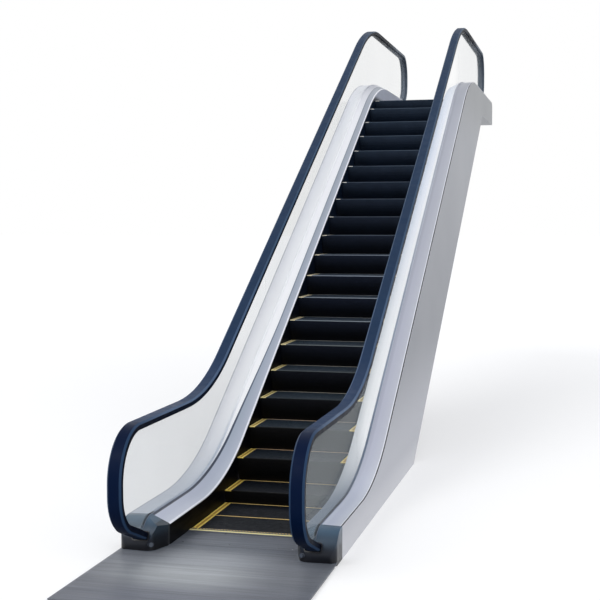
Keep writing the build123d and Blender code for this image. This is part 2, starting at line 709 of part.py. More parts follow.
    with BuildPart() as comb_segments:
        with Locations((0, comb, floor - PLATE_THICKNESS / 2 + COMB_TOOTH_HEIGHT / 2)):
            Box(inner_width, COMB_LENGTH, PLATE_THICKNESS + COMB_TOOTH_HEIGHT)
        tooth_count = int(STEP_WIDTH / COMB_TOOTH_PITCH)
        tooth_z = floor + STRIP_THICKNESS + COMB_CLEARANCE
        tooth_y = comb - toward * (COMB_LENGTH + COMB_TOOTH_LENGTH) / 2
        tooth_height = floor + COMB_TOOTH_HEIGHT - tooth_z
        with Locations((0, tooth_y, tooth_z + tooth_height / 2)):
            with GridLocations(COMB_TOOTH_PITCH, 1, tooth_count, 1):
                Box(COMB_TOOTH_WIDTH, COMB_TOOTH_LENGTH, tooth_height)
    finish(comb_segments, f"{landing}_comb")

with BuildPart() as stop_buttons:
    for button in buttons:
        add(button)
finish(stop_buttons, "stop_buttons")


# Base frame on the ground and ribbed frame under the upper floor
CAP_CLEAR = LOWER_CAP_BACK - CAP_INNER_REACH - 2 * PLATE_GAP
with BuildPart() as base_frame:
    comb_end = LOWER_COMB + COMB_LENGTH / 2
    bays = (
        (FRAME_HALF, FLOOR_FRONT, CAP_CLEAR),
        (SKIRT_INNER, CAP_CLEAR, comb_end),
        (SKIRT_INNER, comb_end, LADDER_END),
    )
    for half, start, stop in bays:
        with BuildSketch():
            with Locations((0, (start + stop) / 2)):
                Rectangle(2 * half, stop - start)
                pocket = ((2 * half - (BASE_BAYS + 1) * BASE_BAR) / BASE_BAYS, stop - start - 2 * BASE_BAR)
                with GridLocations(pocket[0] + BASE_BAR, 1, BASE_BAYS, 1):
                    Rectangle(*pocket, mode=Mode.SUBTRACT)
        extrude(amount=LADDER_TOP)
finish(base_frame, "base_frame")

STUB_FOOT = UPPER_FLOOR - STUB_DEPTH
with BuildPart() as upper_floor_frame:
    start = UPPER_COMB - COMB_LENGTH / 2
    length = FLOOR_END - SHEET_THICKNESS - start
    base_top = UPPER_FLOOR - SKIRT_FOOT_HIGH - COLLAR_SEAT
    base_foot = STUB_FOOT + SHEET_THICKNESS
    with Locations((0, start + length / 2, (base_foot + base_top) / 2)):
        Box(2 * FRAME_HALF, length, base_top - base_foot)
    rib_height = UPPER_FLOOR - PLATE_THICKNESS - base_top
    with Locations((0, start + length / 2, base_top + rib_height / 2)):
        with GridLocations(RIB_SPACING, 1, RIB_COUNT, 1):
            Box(RIB_THICKNESS, length, rib_height)
finish(upper_floor_frame, "upper_floor_frame")


# Cladding: side panels, underside and end
def underside_at(y, lift=0):
    """Height of the underside's inclined line at y, lifted square to it."""
    return LOWER_FLOOR + (y - INCLINE_FOOT) * SLOPE - UNDERSIDE_DEPTH + lift / cos(INCLINE)


UNDERSIDE_FOOT = INCLINE_FOOT + (UNDERSIDE_DEPTH - LOWER_FLOOR) / SLOPE
UNDERSIDE_TOP = UNDERSIDE_FOOT + STUB_FOOT / SLOPE
for label, side in SIDES:
    with BuildPart() as side_panel:
        with BuildSketch(side_plane(side, FRAME_HALF)):
            low, high = line_bends(*deck_line(DECK_THICKNESS))
            corners = [
                (LOWER_CAP_BACK, 0), (LOWER_CAP_BACK, low[1]), low, high, (FLOOR_END, high[1]),
                (FLOOR_END, STUB_FOOT), (UNDERSIDE_TOP, STUB_FOOT), (UNDERSIDE_FOOT, 0),
            ]
            panel_radii = [0, 0, *deck_radii(DECK_THICKNESS), KERB_RADIUS, 0, 0, 0]
            with BuildLine():
                FilletPolyline(*side_points(side, corners), radius=panel_radii, close=True)
            make_face()
        extrude(amount=CLADDING_THICKNESS)
        # Beyond the upper cap the panel goes on as a kerb that stands on the floor plate
        with BuildSketch(side_plane(side, FRAME_HALF - KERB_WIDTH)):
            kerb_start = UPPER_CAP_BACK + CAP_INNER_REACH + PLATE_GAP
            kerb = [
                (kerb_start, UPPER_FLOOR), (kerb_start, high[1]), (FLOOR_END, high[1]), (FLOOR_END, UPPER_FLOOR),
            ]
            with BuildLine():
                FilletPolyline(*side_points(side, kerb), radius=[0, 0, KERB_RADIUS, 0], close=True)
            make_face()
        extrude(amount=KERB_WIDTH)
    finish(side_panel, f"side_panel_{label}")

with BuildPart() as underside_panel:
    with BuildSketch(Plane.YZ):
        lift = SHEET_THICKNESS / cos(INCLINE)
        inner_top = UNDERSIDE_TOP + (SHEET_THICKNESS - lift) / SLOPE
        end = FLOOR_END - SHEET_THICKNESS
        with BuildLine():
            Polyline(
                (UNDERSIDE_FOOT, 0), (UNDERSIDE_TOP, STUB_FOOT), (end, STUB_FOOT),
                (end, STUB_FOOT + SHEET_THICKNESS), (inner_top, STUB_FOOT + SHEET_THICKNESS),
                (UNDERSIDE_FOOT - lift / SLOPE, 0), close=True,
            )
        make_face()
    extrude(amount=FRAME_HALF, both=True)
finish(underside_panel, "underside_panel")

with BuildPart() as end_panel:
    with Locations((0, FLOOR_END - SHEET_THICKNESS / 2, (STUB_FOOT + UPPER_FLOOR - PLATE_THICKNESS) / 2)):
        Box(2 * FRAME_HALF, SHEET_THICKNESS, STUB_DEPTH - PLATE_THICKNESS)
finish(end_panel, "end_panel")

with BuildPart() as support_angle:
    leg_foot = UPPER_FLOOR - ANGLE_DEPTH
    leg_top = UPPER_FLOOR - PLATE_THICKNESS
    with Locations((0, FLOOR_END + ANGLE_REACH / 2, leg_foot + ANGLE_THICKNESS / 2)):
        Box(ANGLE_LENGTH, ANGLE_REACH, ANGLE_THICKNESS)
    with Locations((0, FLOOR_END + ANGLE_THICKNESS / 2, (leg_foot + leg_top) / 2)):
        Box(ANGLE_LENGTH, ANGLE_THICKNESS, leg_top - leg_foot)
finish(support_angle, "support_angle")


# Truss frames: U-shaped plates that carry the tracks, decks and cladding
def frame_outline(y):
    """Outline of one truss frame at y, its front face towards the lower floor."""
    near = y - FRAME_THICKNESS
    foot = max(0, underside_at(y, SHEET_THICKNESS))
    sill = height_at(near, *axle_line(TRACK_FOOT))
    clamp_foot = height_at(near, *deck_line(CLAMP_DEPTH))
    deck_foot = height_at(near, *deck_line(DECK_THICKNESS))
    Polyline(
        (-FRAME_HALF, foot), (FRAME_HALF, foot), (FRAME_HALF, deck_foot), (CLAMP_OUTER, deck_foot),
        (CLAMP_OUTER, clamp_foot), (FRAME_INNER, clamp_foot), (FRAME_INNER, sill), (-FRAME_INNER, sill),
        (-FRAME_INNER, clamp_foot), (-CLAMP_OUTER, clamp_foot), (-CLAMP_OUTER, deck_foot),
        (-FRAME_HALF, deck_foot), close=True,
    )


frame_places = [FRAME_FIRST + n * FRAME_PITCH for n in range(FRAME_COUNT)] + [FRAME_AT_LANDING]
with BuildPart() as truss_frames:
    for y in frame_places:
        frame_plane = Plane(origin=(0, y, 0), x_dir=(1, 0, 0), z_dir=(0, -1, 0))
        near = y - FRAME_THICKNESS
        way_foot = height_at(near, RETURN_LOW, RETURN_HIGH, -RETURN_BELOW_NOSING) - FRAME_SLOT_CLEARANCE
        lean = HANDRAIL_THICKNESS / cos(INCLINE)
        way_top = height_at(
            y, RETURN_LOW + HANDRAIL_THICKNESS, RETURN_HIGH + HANDRAIL_THICKNESS, lean - RETURN_BELOW_NOSING
        ) + FRAME_SLOT_CLEARANCE
        with BuildSketch(frame_plane):
            with BuildLine():
                frame_outline(y)
            make_face()
            for label, side in SIDES:
                with Locations((side * GLASS_PLANE, (way_foot + way_top) / 2)):
                    Rectangle(HANDRAIL_WIDTH + 2 * FRAME_SLOT_CLEARANCE, way_top - way_foot, mode=Mode.SUBTRACT)
        extrude(amount=FRAME_THICKNESS)
finish(truss_frames, "truss_frames")
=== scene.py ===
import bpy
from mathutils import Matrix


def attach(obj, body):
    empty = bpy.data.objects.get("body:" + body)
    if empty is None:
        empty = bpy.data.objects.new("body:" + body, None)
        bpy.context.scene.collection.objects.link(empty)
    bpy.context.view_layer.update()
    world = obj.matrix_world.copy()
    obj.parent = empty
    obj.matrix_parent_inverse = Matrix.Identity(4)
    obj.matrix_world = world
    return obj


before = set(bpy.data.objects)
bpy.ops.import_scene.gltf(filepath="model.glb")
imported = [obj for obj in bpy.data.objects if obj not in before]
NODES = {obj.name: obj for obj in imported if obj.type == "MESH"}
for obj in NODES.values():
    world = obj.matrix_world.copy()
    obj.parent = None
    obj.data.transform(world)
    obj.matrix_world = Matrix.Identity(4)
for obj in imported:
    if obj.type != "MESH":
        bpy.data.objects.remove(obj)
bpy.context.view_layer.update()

from collections import namedtuple
from math import cos, pi, radians, sin, tan

import bpy
from mathutils import Vector

# Sizes in metres, the same values as the CAD model
INCLINE = radians(30)
SLOPE = tan(INCLINE)
LOWER_FLOOR = 0.020
UPPER_FLOOR = 3.900
INCLINE_FOOT = 0.6755
CHAIN_PITCH = 0.400
LOWER_STEP_RADIUS = 1.000
UPPER_STEP_RADIUS = 1.500
FIRST_NOSING = -0.3305
LOWER_TRIM = 0.0303
UPPER_TRIM = 8.8697
UPPER_COMB = UPPER_TRIM + LOWER_TRIM
BASE_FRAME_TOP = 0.014
STEP_HALF = 0.460
TREAD_DEPTH = 0.395
RISER_SWEEP = radians(31)
EDGE_STRIP = 0.050
REAR_STRIP = 0.014
SKIRT_INNER = 0.465
GLASS_PLANE = 0.607
GLASS_THICKNESS = 0.012
CLAMP_STAND = 0.006
OUTER_FACE = 0.762
DECK_RISE = 0.060
LIP_LOW = 0.145
LIP_HIGH = 0.200
LIP_ABOVE_NOSING = 0.025
DECK_LOWER_RADIUS = 2.200
DECK_UPPER_RADIUS = 2.600
DECK_THICKNESS = 0.004
CLADDING_THICKNESS = 0.006
FLOOR_FRONT = -1.700
FLOOR_END = 11.100
KERB_WIDTH = 0.070
COMB_PLATE_EDGE = 0.330

# Newel caps: plan corners measured from the back of the cap
CAP_BACKS = (-0.3998, 10.0624)
CAP_FLANK_REACH = 0.040
CAP_INNER_REACH = 0.208
CAP_INNER_ACROSS = 0.522
CAP_OUTER_REACH = 0.195
CAP_INNER_CORNER = 0.070
CAP_OUTER_CORNER = 0.050
CAP_FRONT_RADIUS = 0.180
BUTTON_HEIGHT = 0.045

SIDES = (-1, 1)


# Camera at the photo's view
CAMERA_PLACE = (2.3714, -8.0362, 2.2570)
CAMERA_PITCH = 0.0654
CAMERA_YAW = 0.2441
FOCAL_LENGTH = 70.8
SENSOR_WIDTH = 36.0
CLIP_END = 200.0

camera_data = bpy.data.cameras.new("photo_camera")
camera_data.lens = FOCAL_LENGTH
camera_data.sensor_width = SENSOR_WIDTH
camera_data.clip_end = CLIP_END
camera = bpy.data.objects.new("photo_camera", camera_data)
camera.location = CAMERA_PLACE
camera.rotation_euler = (pi / 2 - CAMERA_PITCH, 0.0, CAMERA_YAW)
bpy.context.scene.collection.objects.link(camera)
bpy.context.scene.camera = camera
bpy.context.scene.view_settings.view_transform = "Standard"


# Tones along the run or up it: a place in metres and the screen colour there
# Deck tones are painted light and shade: lit and shaded copies of one satin metal that differ from side to
# side, along the run and across the deck
LEFT_INNER_STOPS = (
    ((0.2, (170, 180, 198)), (1.8, (246, 247, 250)), (6.5, (240, 241, 246)), (8.0, (196, 198, 208))),
    ((-0.1, (190, 196, 214)), (0.8, (170, 178, 196)), (1.6, (158, 168, 184)), (5.0, (142, 152, 167)),
     (8.0, (158, 164, 176))),
    ((-0.1, (204, 209, 222)), (0.8, (184, 192, 207)), (1.6, (174, 181, 197)), (5.0, (166, 174, 188)),
     (8.0, (164, 171, 182))),
)
RIGHT_INNER_STOPS = (
    ((0.2, (128, 142, 160)), (1.5, (252, 253, 254)), (6.0, (250, 252, 255)), (8.0, (226, 232, 240))),
    ((0.2, (124, 138, 156)), (1.5, (246, 248, 249)), (6.0, (240, 245, 255)), (8.0, (220, 227, 238))),
    ((0.2, (120, 132, 150)), (1.5, (214, 218, 220)), (6.0, (214, 224, 240)), (8.0, (206, 214, 228))),
)
LEFT_OUTER_STOPS = (
    ((0.1, (176, 186, 202)), (1.8, (244, 245, 248)), (7.0, (246, 247, 251)), (8.2, (214, 216, 226))),
    ((0.1, (182, 190, 204)), (1.8, (246, 246, 249)), (7.0, (244, 246, 250)), (8.2, (214, 216, 226))),
    ((0.1, (190, 197, 210)), (1.8, (226, 227, 233)), (7.0, (232, 234, 242)), (8.2, (214, 216, 226))),
)
RIGHT_OUTER_STOPS = (
    ((0.0, (208, 214, 230)), (1.6, (166, 169, 185)), (5.0, (164, 167, 179)), (8.0, (158, 161, 172))),
    ((0.0, (202, 208, 226)), (1.6, (180, 183, 198)), (5.0, (174, 177, 189)), (8.0, (166, 169, 180))),
    ((0.0, (216, 221, 234)), (1.6, (194, 197, 209)), (5.0, (190, 193, 203)), (8.0, (178, 181, 191))),
)
BAND_LINE_STOPS = ((0.6, (30, 42, 66)), (2.4, (78, 90, 110)), (4.5, (116, 125, 138)))
# Rubber and holder tones are painted light and shade: near white where lit along the left incline, dark in
# shade at the landings
LEFT_RUBBER_STOPS = (
    (-0.35, (22, 26, 38)), (-0.32, (140, 150, 168)), (1.0, (176, 186, 202)), (2.0, (250, 251, 254)),
    (6.8, (250, 251, 254)), (7.8, (166, 168, 180)))
RIGHT_RUBBER_STOPS = (
    (0.2, (22, 26, 38)), (1.0, (74, 90, 112)), (2.4, (132, 143, 160)), (5.0, (164, 170, 182)),
    (7.8, (166, 168, 180)))
HOLDER_STOPS = (
    (0.0, (120, 130, 148)), (1.6, (212, 215, 221)), (7.0, (206, 208, 216)), (8.0, (165, 168, 178)))
# Handrail tones: painted highlight on the rounded edges, painted shade on the flanks, paler painted light
# round the upper newel
HANDRAIL_BODY_STOPS = (
    (-0.84, (0, 17, 46)), (-0.5, (38, 56, 84)), (0.6, (36, 54, 82)), (1.8, (28, 48, 74)), (7.4, (33, 52, 77)),
    (9.0, (8, 20, 36)), (9.9, (88, 98, 110)))
HANDRAIL_HIGHLIGHT_STOPS = (
    (-0.9, (40, 62, 90)), (0.0, (84, 102, 128)), (1.2, (72, 92, 120)), (3.0, (56, 77, 102)),
    (7.0, (58, 76, 98)), (9.9, (104, 116, 128)))
HANDRAIL_FLANK_SHADE_STOPS = (
    (-0.9, (0, 6, 24)), (1.0, (0, 12, 34)), (7.0, (4, 14, 30)), (9.0, (6, 12, 22)), (9.9, (96, 106, 118)))
GUIDE_STOPS = ((0.0, (12, 16, 28)), (8.6, (24, 28, 38)), (9.8, (104, 112, 124)))
# Riser tones: painted shade low in the run and on faces turning down, lighter under the nosings
RISER_TOP_STOPS = ((0.4, (2, 2, 3)), (1.6, (12, 20, 36)), (3.4, (38, 50, 66)))
RISER_FOOT_STOPS = ((0.4, (1, 1, 1)), (1.6, (3, 6, 14)), (3.4, (14, 26, 42)))
TREAD_STOPS = ((0.1, (18, 24, 34)), (0.6, (47, 60, 72)), (1.8, (46, 58, 72)), (3.4, (50, 62, 76)))
# Nosing tones: a painted highlight along the front edges, brightest partway up the run
NOSING_HIGHLIGHT_STOPS = (
    (0.5, (8, 10, 14)), (0.8, (40, 48, 54)), (1.05, (92, 98, 100)), (1.35, (130, 140, 148)),
    (1.75, (140, 150, 164)), (2.12, (54, 64, 80)), (3.4, (62, 78, 96)))
# Marking tones grow paler up the run with painted light; the rear line darkens up the run with painted shade
MARK_STOPS = ((0.2, (255, 226, 112)), (0.8, (255, 240, 174)), (1.6, (255, 242, 206)), (2.6, (240, 238, 232)))
MARK_MIDDLE_STOPS = (
    (0.2, (190, 142, 58)), (0.8, (206, 172, 96)), (1.6, (206, 188, 140)), (2.6, (204, 202, 196)))
MARK_REAR_STOPS = (
    (0.06, (250, 214, 134)), (0.4, (236, 196, 160)), (0.7, (214, 206, 190)), (1.4, (176, 178, 178)),
    (2.3, (84, 96, 110)))
# Skirt tones: painted shade low in the well, painted light above the upper floor
SKIRT_STOPS = (
    (0.4, (3, 3, 6)), (3.2, (16, 26, 42)), (UPPER_FLOOR - 0.02, (18, 28, 44)),
    (UPPER_FLOOR + 0.05, (178, 184, 200)))
CAP_STOPS = ((0.03, (8, 10, 18)), (0.09, (20, 26, 38)), (0.17, (58, 74, 90)), (0.225, (70, 94, 115)))
# Landing plate tones: a painted highlight in the middle stops, fading to the rim stops
PLATE_RIM_STOPS = (
    (-1.6, (108, 112, 122)), (-0.9, (124, 128, 136)), (-0.3, (100, 105, 116)), (0.1, (84, 88, 98)))
PLATE_HIGHLIGHT_STOPS = (
    (-1.5, (118, 122, 132)), (-1.05, (178, 182, 186)), (-0.7, (162, 166, 172)), (-0.3, (110, 116, 126)),
    (0.1, (88, 92, 102)))
# Cladding tones up its height are painted light and shade
CLADDING_STOPS = (
    (0.03, (204, 205, 211)), (0.25, (182, 184, 192)), (1.25, (128, 131, 139)), (3.2, (148, 151, 158)),
    (4.0, (132, 135, 139)))

# Decks: distances from the glass where one painted tone of light and shade gives way to the next, and where
# the painted highlight along the lip edge starts
FIRST_BAND = (0.030, 0.050)
SECOND_BAND = (0.055, 0.140)
INNER_HIGHLIGHT_EDGE = 0.128
OUTER_HIGHLIGHT_EDGE = 0.134
EDGE_BLEND = 0.005
LIP_HIGHLIGHT_TONE = (236, 238, 246)

# Band of painted light by the left glass: how far it widens and where along the run, its border, and the line
# there
WIDENING = 0.062
WIDENS_ALONG = (0.5, 3.0)
BAND_BORDER = (0.012, 0.016)
LINE_NEAR = (0.010, 0.012)
LINE_FAR = (0.017, 0.022)
LINE_EXTRA = 0.010
LINE_THINS_ALONG = (0.8, 2.4)

# Glass: where the gasket's rubber meets its holder, the veil's least and most, and ramps of the veil's
# strength, each with its start and stop in metres and the values there
GASKET_LINE = (0.0087, 0.0097)
VEIL = (0.17, 0.19)
JOINT_CLEARNESS = 0.9
LEFT_VEIL_LOW = (0.5, 2.0, 1.0, 0.82)
LEFT_VEIL_HIGH = (7.6, 9.0, 1.0, 0.9)
RIGHT_VEIL_HIGH = (7.6, 9.0, 1.0, 1.25)
RIGHT_FOOT = (0.42, 0.50, 0.3, 1.0)
RIGHT_FOOT_ENDS = ((0.7, 1.3, 1.0, 0.0), (7.0, 8.0, 0.0, 1.0))
DECK_CROWN_LOW = LIP_LOW + DECK_RISE
DECK_CROWN_START = LOWER_FLOOR - INCLINE_FOOT * SLOPE + LIP_ABOVE_NOSING + DECK_RISE / cos(INCLINE)

# Spans of how squarely a face looks along an axis: 0 along it, 1 square to it
SQUARE_ON = 0.99
HANDRAIL_ROUND_STARTS = (0.25, 0.5)
HANDRAIL_ROUND_STOPS = (0.85, 0.97, 1.0, 0.0)
HANDRAIL_FLANK = (0.93, 0.99)
RISER_TURNS_DOWN = (0.0, 0.4)
CAP_FLANK = (0.1, 0.4)
CAP_FLANK_SHADE = 0.45

# Markings, combs, caps and landing plates, in metres
MARK_BORDER = (0.007, 0.012)
COMB_YELLOW_PLACES = (0.008, UPPER_TRIM + 0.022)
COMB_YELLOW_HALF = 0.013
BELOW_UPPER_CAPS = UPPER_FLOOR - 0.1
PLATE_HIGHLIGHT_X = -0.12
PLATE_HIGHLIGHT_FADES = (0.1, 0.65)

# Noise: how it is squeezed along X, Y and Z, and the spans of its values that are spread out
EVEN = (1, 1, 1)
DECK_BRUSHED = (60.0, 1.2, 60.0)
SKIRT_BRUSHED = (6, 0.6, 6)
PLATE_STREAKS = (0.5, 16, 16)
PLATE_FINE_STREAKS = (0.7, 40, 40)
PLATE_WIDE_STREAKS = (0.35, 9, 9)
CLOUD_SPAN = (0.3, 0.7)
BRUSH_SPAN = (0.35, 0.65)
SMEAR_SPAN = (0.25, 0.75)
WIDE_STREAK_SPAN = (0.42, 0.6)
WEAR_SPAN = (0.62, 0.75)

GRAIN_DEPTH = 0.0004
BRUSH_DEPTH = 0.0005


def srgb(red, green, blue):
    """Linear colour of three 0 to 255 screen values."""
    shares = [value / 255 for value in (red, green, blue)]
    linear = [share / 12.92 if share <= 0.04045 else ((share + 0.055) / 1.055) ** 2.4 for share in shares]
    return (*linear, 1.0)


class Paint:
    """One procedural material with helpers that add nodes to its tree."""

    def __init__(self, name, roughness, **sockets):
        self.material = bpy.data.materials.new(name)
        self.material.use_nodes = True
        self.tree = self.material.node_tree
        self.shader = self.tree.nodes["Principled BSDF"]
        self.shader.inputs["Roughness"].default_value = roughness
        for socket, value in sockets.items():
            self.shader.inputs[socket.replace("_", " ")].default_value = value
        self.place = self.tree.nodes.new("ShaderNodeTexCoord").outputs["Object"]

    def link(self, source, socket):
        """Link an output to a socket of the shader."""
        self.tree.links.new(source, self.shader.inputs[socket])

    def feed(self, node, socket, value):
        """Link an output to a node's socket, or set a plain value there."""
        if isinstance(value, bpy.types.NodeSocket):
            self.tree.links.new(value, node.inputs[socket])
        else:
            node.inputs[socket].default_value = value

    def axis(self, name):
        """Object coordinate along one axis, in metres."""
        node = self.tree.nodes.new("ShaderNodeSeparateXYZ")
        self.tree.links.new(self.place, node.inputs["Vector"])
        return node.outputs[name]

    def facing(self, axis):
        """1 on faces square to an axis, 0 on faces along it, from the mesh's own normal."""
        geometry = self.tree.nodes.new("ShaderNodeNewGeometry")
        split = self.tree.nodes.new("ShaderNodeSeparateXYZ")
        self.tree.links.new(geometry.outputs["True Normal"], split.inputs["Vector"])
        return self.math("ABSOLUTE", split.outputs[axis])

    def math(self, operation, first, second=0.0):
        """Result of one operation on outputs or plain values."""
        node = self.tree.nodes.new("ShaderNodeMath")
        node.operation = operation
        self.feed(node, 0, first)
        self.feed(node, 1, second)
        return node.outputs[0]

    def ramp(self, value, low, high, out_low=0.0, out_high=1.0):
        """A value carried smoothly from one span to another."""
        node = self.tree.nodes.new("ShaderNodeMapRange")
        node.interpolation_type = "SMOOTHSTEP"
        self.feed(node, "Value", value)
        node.inputs["From Min"].default_value = low
        node.inputs["From Max"].default_value = high
        node.inputs["To Min"].default_value = out_low
        node.inputs["To Max"].default_value = out_high
        return node.outputs["Result"]

    def noise(self, scale, detail=3.0, squeeze=EVEN):
        """Soft noise over object coordinates, squeezed along X, Y and Z."""
        mapping = self.tree.nodes.new("ShaderNodeMapping")
        mapping.inputs["Scale"].default_value = squeeze
        self.tree.links.new(self.place, mapping.inputs["Vector"])
        node = self.tree.nodes.new("ShaderNodeTexNoise")
        node.inputs["Scale"].default_value = scale
        node.inputs["Detail"].default_value = detail
        self.tree.links.new(mapping.outputs["Vector"], node.inputs["Vector"])
        return node.outputs["Fac"]

    def across(self):
        """Distance from the middle plane."""
        return self.math("ABSOLUTE", self.axis("X"))

    def apart(self, value, place):
        """How far a value is from a place, either way."""
        return self.math("ABSOLUTE", self.math("SUBTRACT", value, place))

    def from_glass(self):
        """Distance across from the middle of the nearer pane."""
        return self.apart(self.across(), GLASS_PLANE)

    def on_left(self):
        """1 on the left balustrade, 0 on the right one."""
        return self.math("LESS_THAN", self.axis("X"), 0.0)

    def blend(self, factor, first, second):
        """Colour between two, the first at 0 and the second at 1."""
        node = self.tree.nodes.new("ShaderNodeMix")
        node.data_type = "RGBA"
        self.feed(node, 0, factor)
        self.feed(node, 6, first)
        self.feed(node, 7, second)
        return node.outputs[2]

    def scaled(self, color, factor):
        """A colour made darker by a factor."""
        node = self.tree.nodes.new("ShaderNodeVectorMath")
        node.operation = "SCALE"
        self.tree.links.new(color, node.inputs[0])
        node.inputs["Scale"].default_value = factor
        return node.outputs[0]

    def stops(self, value, stops):
        """Colour that changes smoothly from stop to stop as a value grows."""
        place, tone = stops[0]
        color = srgb(*tone)
        for next_place, tone in stops[1:]:
            color = self.blend(self.ramp(value, place, next_place), color, srgb(*tone))
            place = next_place
        return color

    def along(self, axis, stops):
        """Colour that changes from stop to stop along one axis."""
        return self.stops(self.axis(axis), stops)

    def mottled(self, color, spread, scale):
        """A plain colour that varies a little with noise."""
        darker = tuple(c * (1 - spread) for c in color[:3]) + (1.0,)
        lighter = tuple(min(1.0, c * (1 + spread)) for c in color[:3]) + (1.0,)
        return self.blend(self.noise(scale), darker, lighter)

    def clouded(self, color, scale, darkest):
        """Base colour with soft clouds in it that are darker by a factor."""
        clouds = self.ramp(self.noise(scale), *CLOUD_SPAN)
        self.link(self.blend(clouds, self.scaled(color, darkest), color), "Base Color")

    def rough(self, low, high, scale, squeeze=EVEN):
        """Roughness that varies between two values with noise."""
        self.link(self.ramp(self.noise(scale, squeeze=squeeze), *CLOUD_SPAN, low, high), "Roughness")

    def bump(self, height, strength, depth):
        """Surface raised and lowered by an output, up to a depth in metres."""
        node = self.tree.nodes.new("ShaderNodeBump")
        node.inputs["Strength"].default_value = strength
        node.inputs["Distance"].default_value = depth
        self.tree.links.new(height, node.inputs["Height"])
        self.link(node.outputs["Normal"], "Normal")

    def grain(self, scale, strength, depth=GRAIN_DEPTH, detail=2.0):
        """Fine unevenness of the surface."""
        self.bump(self.noise(scale, detail), strength, depth)


def satin(name, tone, roughness, metallic=0.0, **sockets):
    """Painted or moulded surface with slight mottling and a fine grain."""
    paint = Paint(name, roughness, Metallic=metallic, **sockets)
    paint.link(paint.mottled(srgb(*tone), spread=0.03, scale=2.5), "Base Color")
    paint.rough(roughness - 0.04, roughness + 0.05, scale=9.0)
    paint.grain(scale=180.0, strength=0.06)
    return paint.material


def widening_band(paint, from_glass, near, far):
    """Two deck tones of painted light and shade whose border leaves the glass up the run, with a darker line
    there that gets thinner.
    """
    y = paint.axis("Y")
    shift = paint.math("MULTIPLY", paint.ramp(y, *WIDENS_ALONG), WIDENING)
    beyond = paint.math("SUBTRACT", from_glass, shift)
    color = paint.blend(paint.ramp(beyond, *BAND_BORDER), near, far)
    thinned = paint.math("SUBTRACT", beyond, paint.ramp(y, *LINE_THINS_ALONG, LINE_EXTRA, 0.0))
    before_far = paint.ramp(thinned, *LINE_FAR, 1.0, 0.0)
    line = paint.math("MULTIPLY", paint.ramp(beyond, *LINE_NEAR), before_far)
    return paint.blend(line, color, paint.along("Y", BAND_LINE_STOPS))


def deck_metal(name, tones, widens=False, highlight_starts=None):
    """Satin deck sheet with brush lines, its tone changing along the run and from the glass to the lip.

    The three tones, painted light and shade rather than the metal's own colour, are those by the glass, in
    the middle and by the lip, whose edge can carry a painted highlight.
    """
    paint = Paint(name, roughness=0.34, Metallic=0.25, Anisotropic=0.4)
    from_glass = paint.from_glass()
    glass_side, middle, lip_side = [paint.along("Y", stops) for stops in tones]
    if widens:
        color = widening_band(paint, from_glass, glass_side, middle)
    else:
        color = paint.blend(paint.ramp(from_glass, *FIRST_BAND), glass_side, middle)
    color = paint.blend(paint.ramp(from_glass, *SECOND_BAND), color, lip_side)
    # A painted highlight along the deck's edge by the lip
    if highlight_starts:
        edge = paint.ramp(from_glass, highlight_starts, highlight_starts + EDGE_BLEND)
        color = paint.blend(edge, color, srgb(*LIP_HIGHLIGHT_TONE))
    lines = paint.ramp(paint.noise(6.0, squeeze=DECK_BRUSHED), *BRUSH_SPAN)
    paint.link(paint.blend(lines, paint.scaled(color, factor=0.96), color), "Base Color")
    paint.rough(0.31, 0.38, scale=6.0, squeeze=DECK_BRUSHED)
    paint.bump(paint.noise(9.0, detail=2.0, squeeze=DECK_BRUSHED), strength=0.06, depth=BRUSH_DEPTH)
    return paint.material


def gasket_rubber():
    """Rubber at the glass foot in its holder, in painted light and shade: dark at the right landing, light
    along the left incline.
    """
    paint = Paint("gasket_rubber", roughness=0.5)
    right = paint.along("Y", RIGHT_RUBBER_STOPS)
    left = paint.along("Y", LEFT_RUBBER_STOPS)
    rubber = paint.blend(paint.on_left(), right, left)
    holder = paint.along("Y", HOLDER_STOPS)
    paint.link(paint.blend(paint.ramp(paint.from_glass(), *GASKET_LINE), rubber, holder), "Base Color")
    paint.rough(0.42, 0.55, scale=14.0)
    paint.grain(scale=200.0, strength=0.05)
    return paint.material


def handrail_rubber():
    """Navy rubber with a painted highlight along its rounded edges, painted shade on its flanks, and paler
    painted light round the upper newel.
    """
    paint = Paint("handrail_rubber", roughness=0.5, Specular_IOR_Level=0.06)
    sideways = paint.facing("X")
    body = paint.along("Y", HANDRAIL_BODY_STOPS)
    edge_highlight = paint.along("Y", HANDRAIL_HIGHLIGHT_STOPS)
    flank = paint.along("Y", HANDRAIL_FLANK_SHADE_STOPS)
    # Painted highlight on the rounded edges, then painted shade on the flanks
    starts = paint.ramp(sideways, *HANDRAIL_ROUND_STARTS)
    rounded = paint.math("MULTIPLY", starts, paint.ramp(sideways, *HANDRAIL_ROUND_STOPS))
    color = paint.blend(rounded, body, edge_highlight)
    color = paint.blend(paint.ramp(sideways, *HANDRAIL_FLANK), color, flank)
    paint.clouded(color, scale=3.0, darkest=0.92)
    paint.rough(0.42, 0.55, scale=14.0)
    paint.grain(scale=90.0, strength=0.04)
    return paint.material


def guide_profile():
    """Dark profile under the handrail, paler round the upper newel with painted light."""
    paint = Paint("guide_profile", roughness=0.5, Specular_IOR_Level=0.12)
    paint.clouded(paint.along("Y", GUIDE_STOPS), scale=6.0, darkest=0.9)
    paint.rough(0.45, 0.55, scale=12.0)
    return paint.material


def left_veil(paint):
    """Strength of the veil in the left panes along the run."""
    y = paint.axis("Y")
    return paint.math("MULTIPLY", paint.ramp(y, *LEFT_VEIL_LOW), paint.ramp(y, *LEFT_VEIL_HIGH))


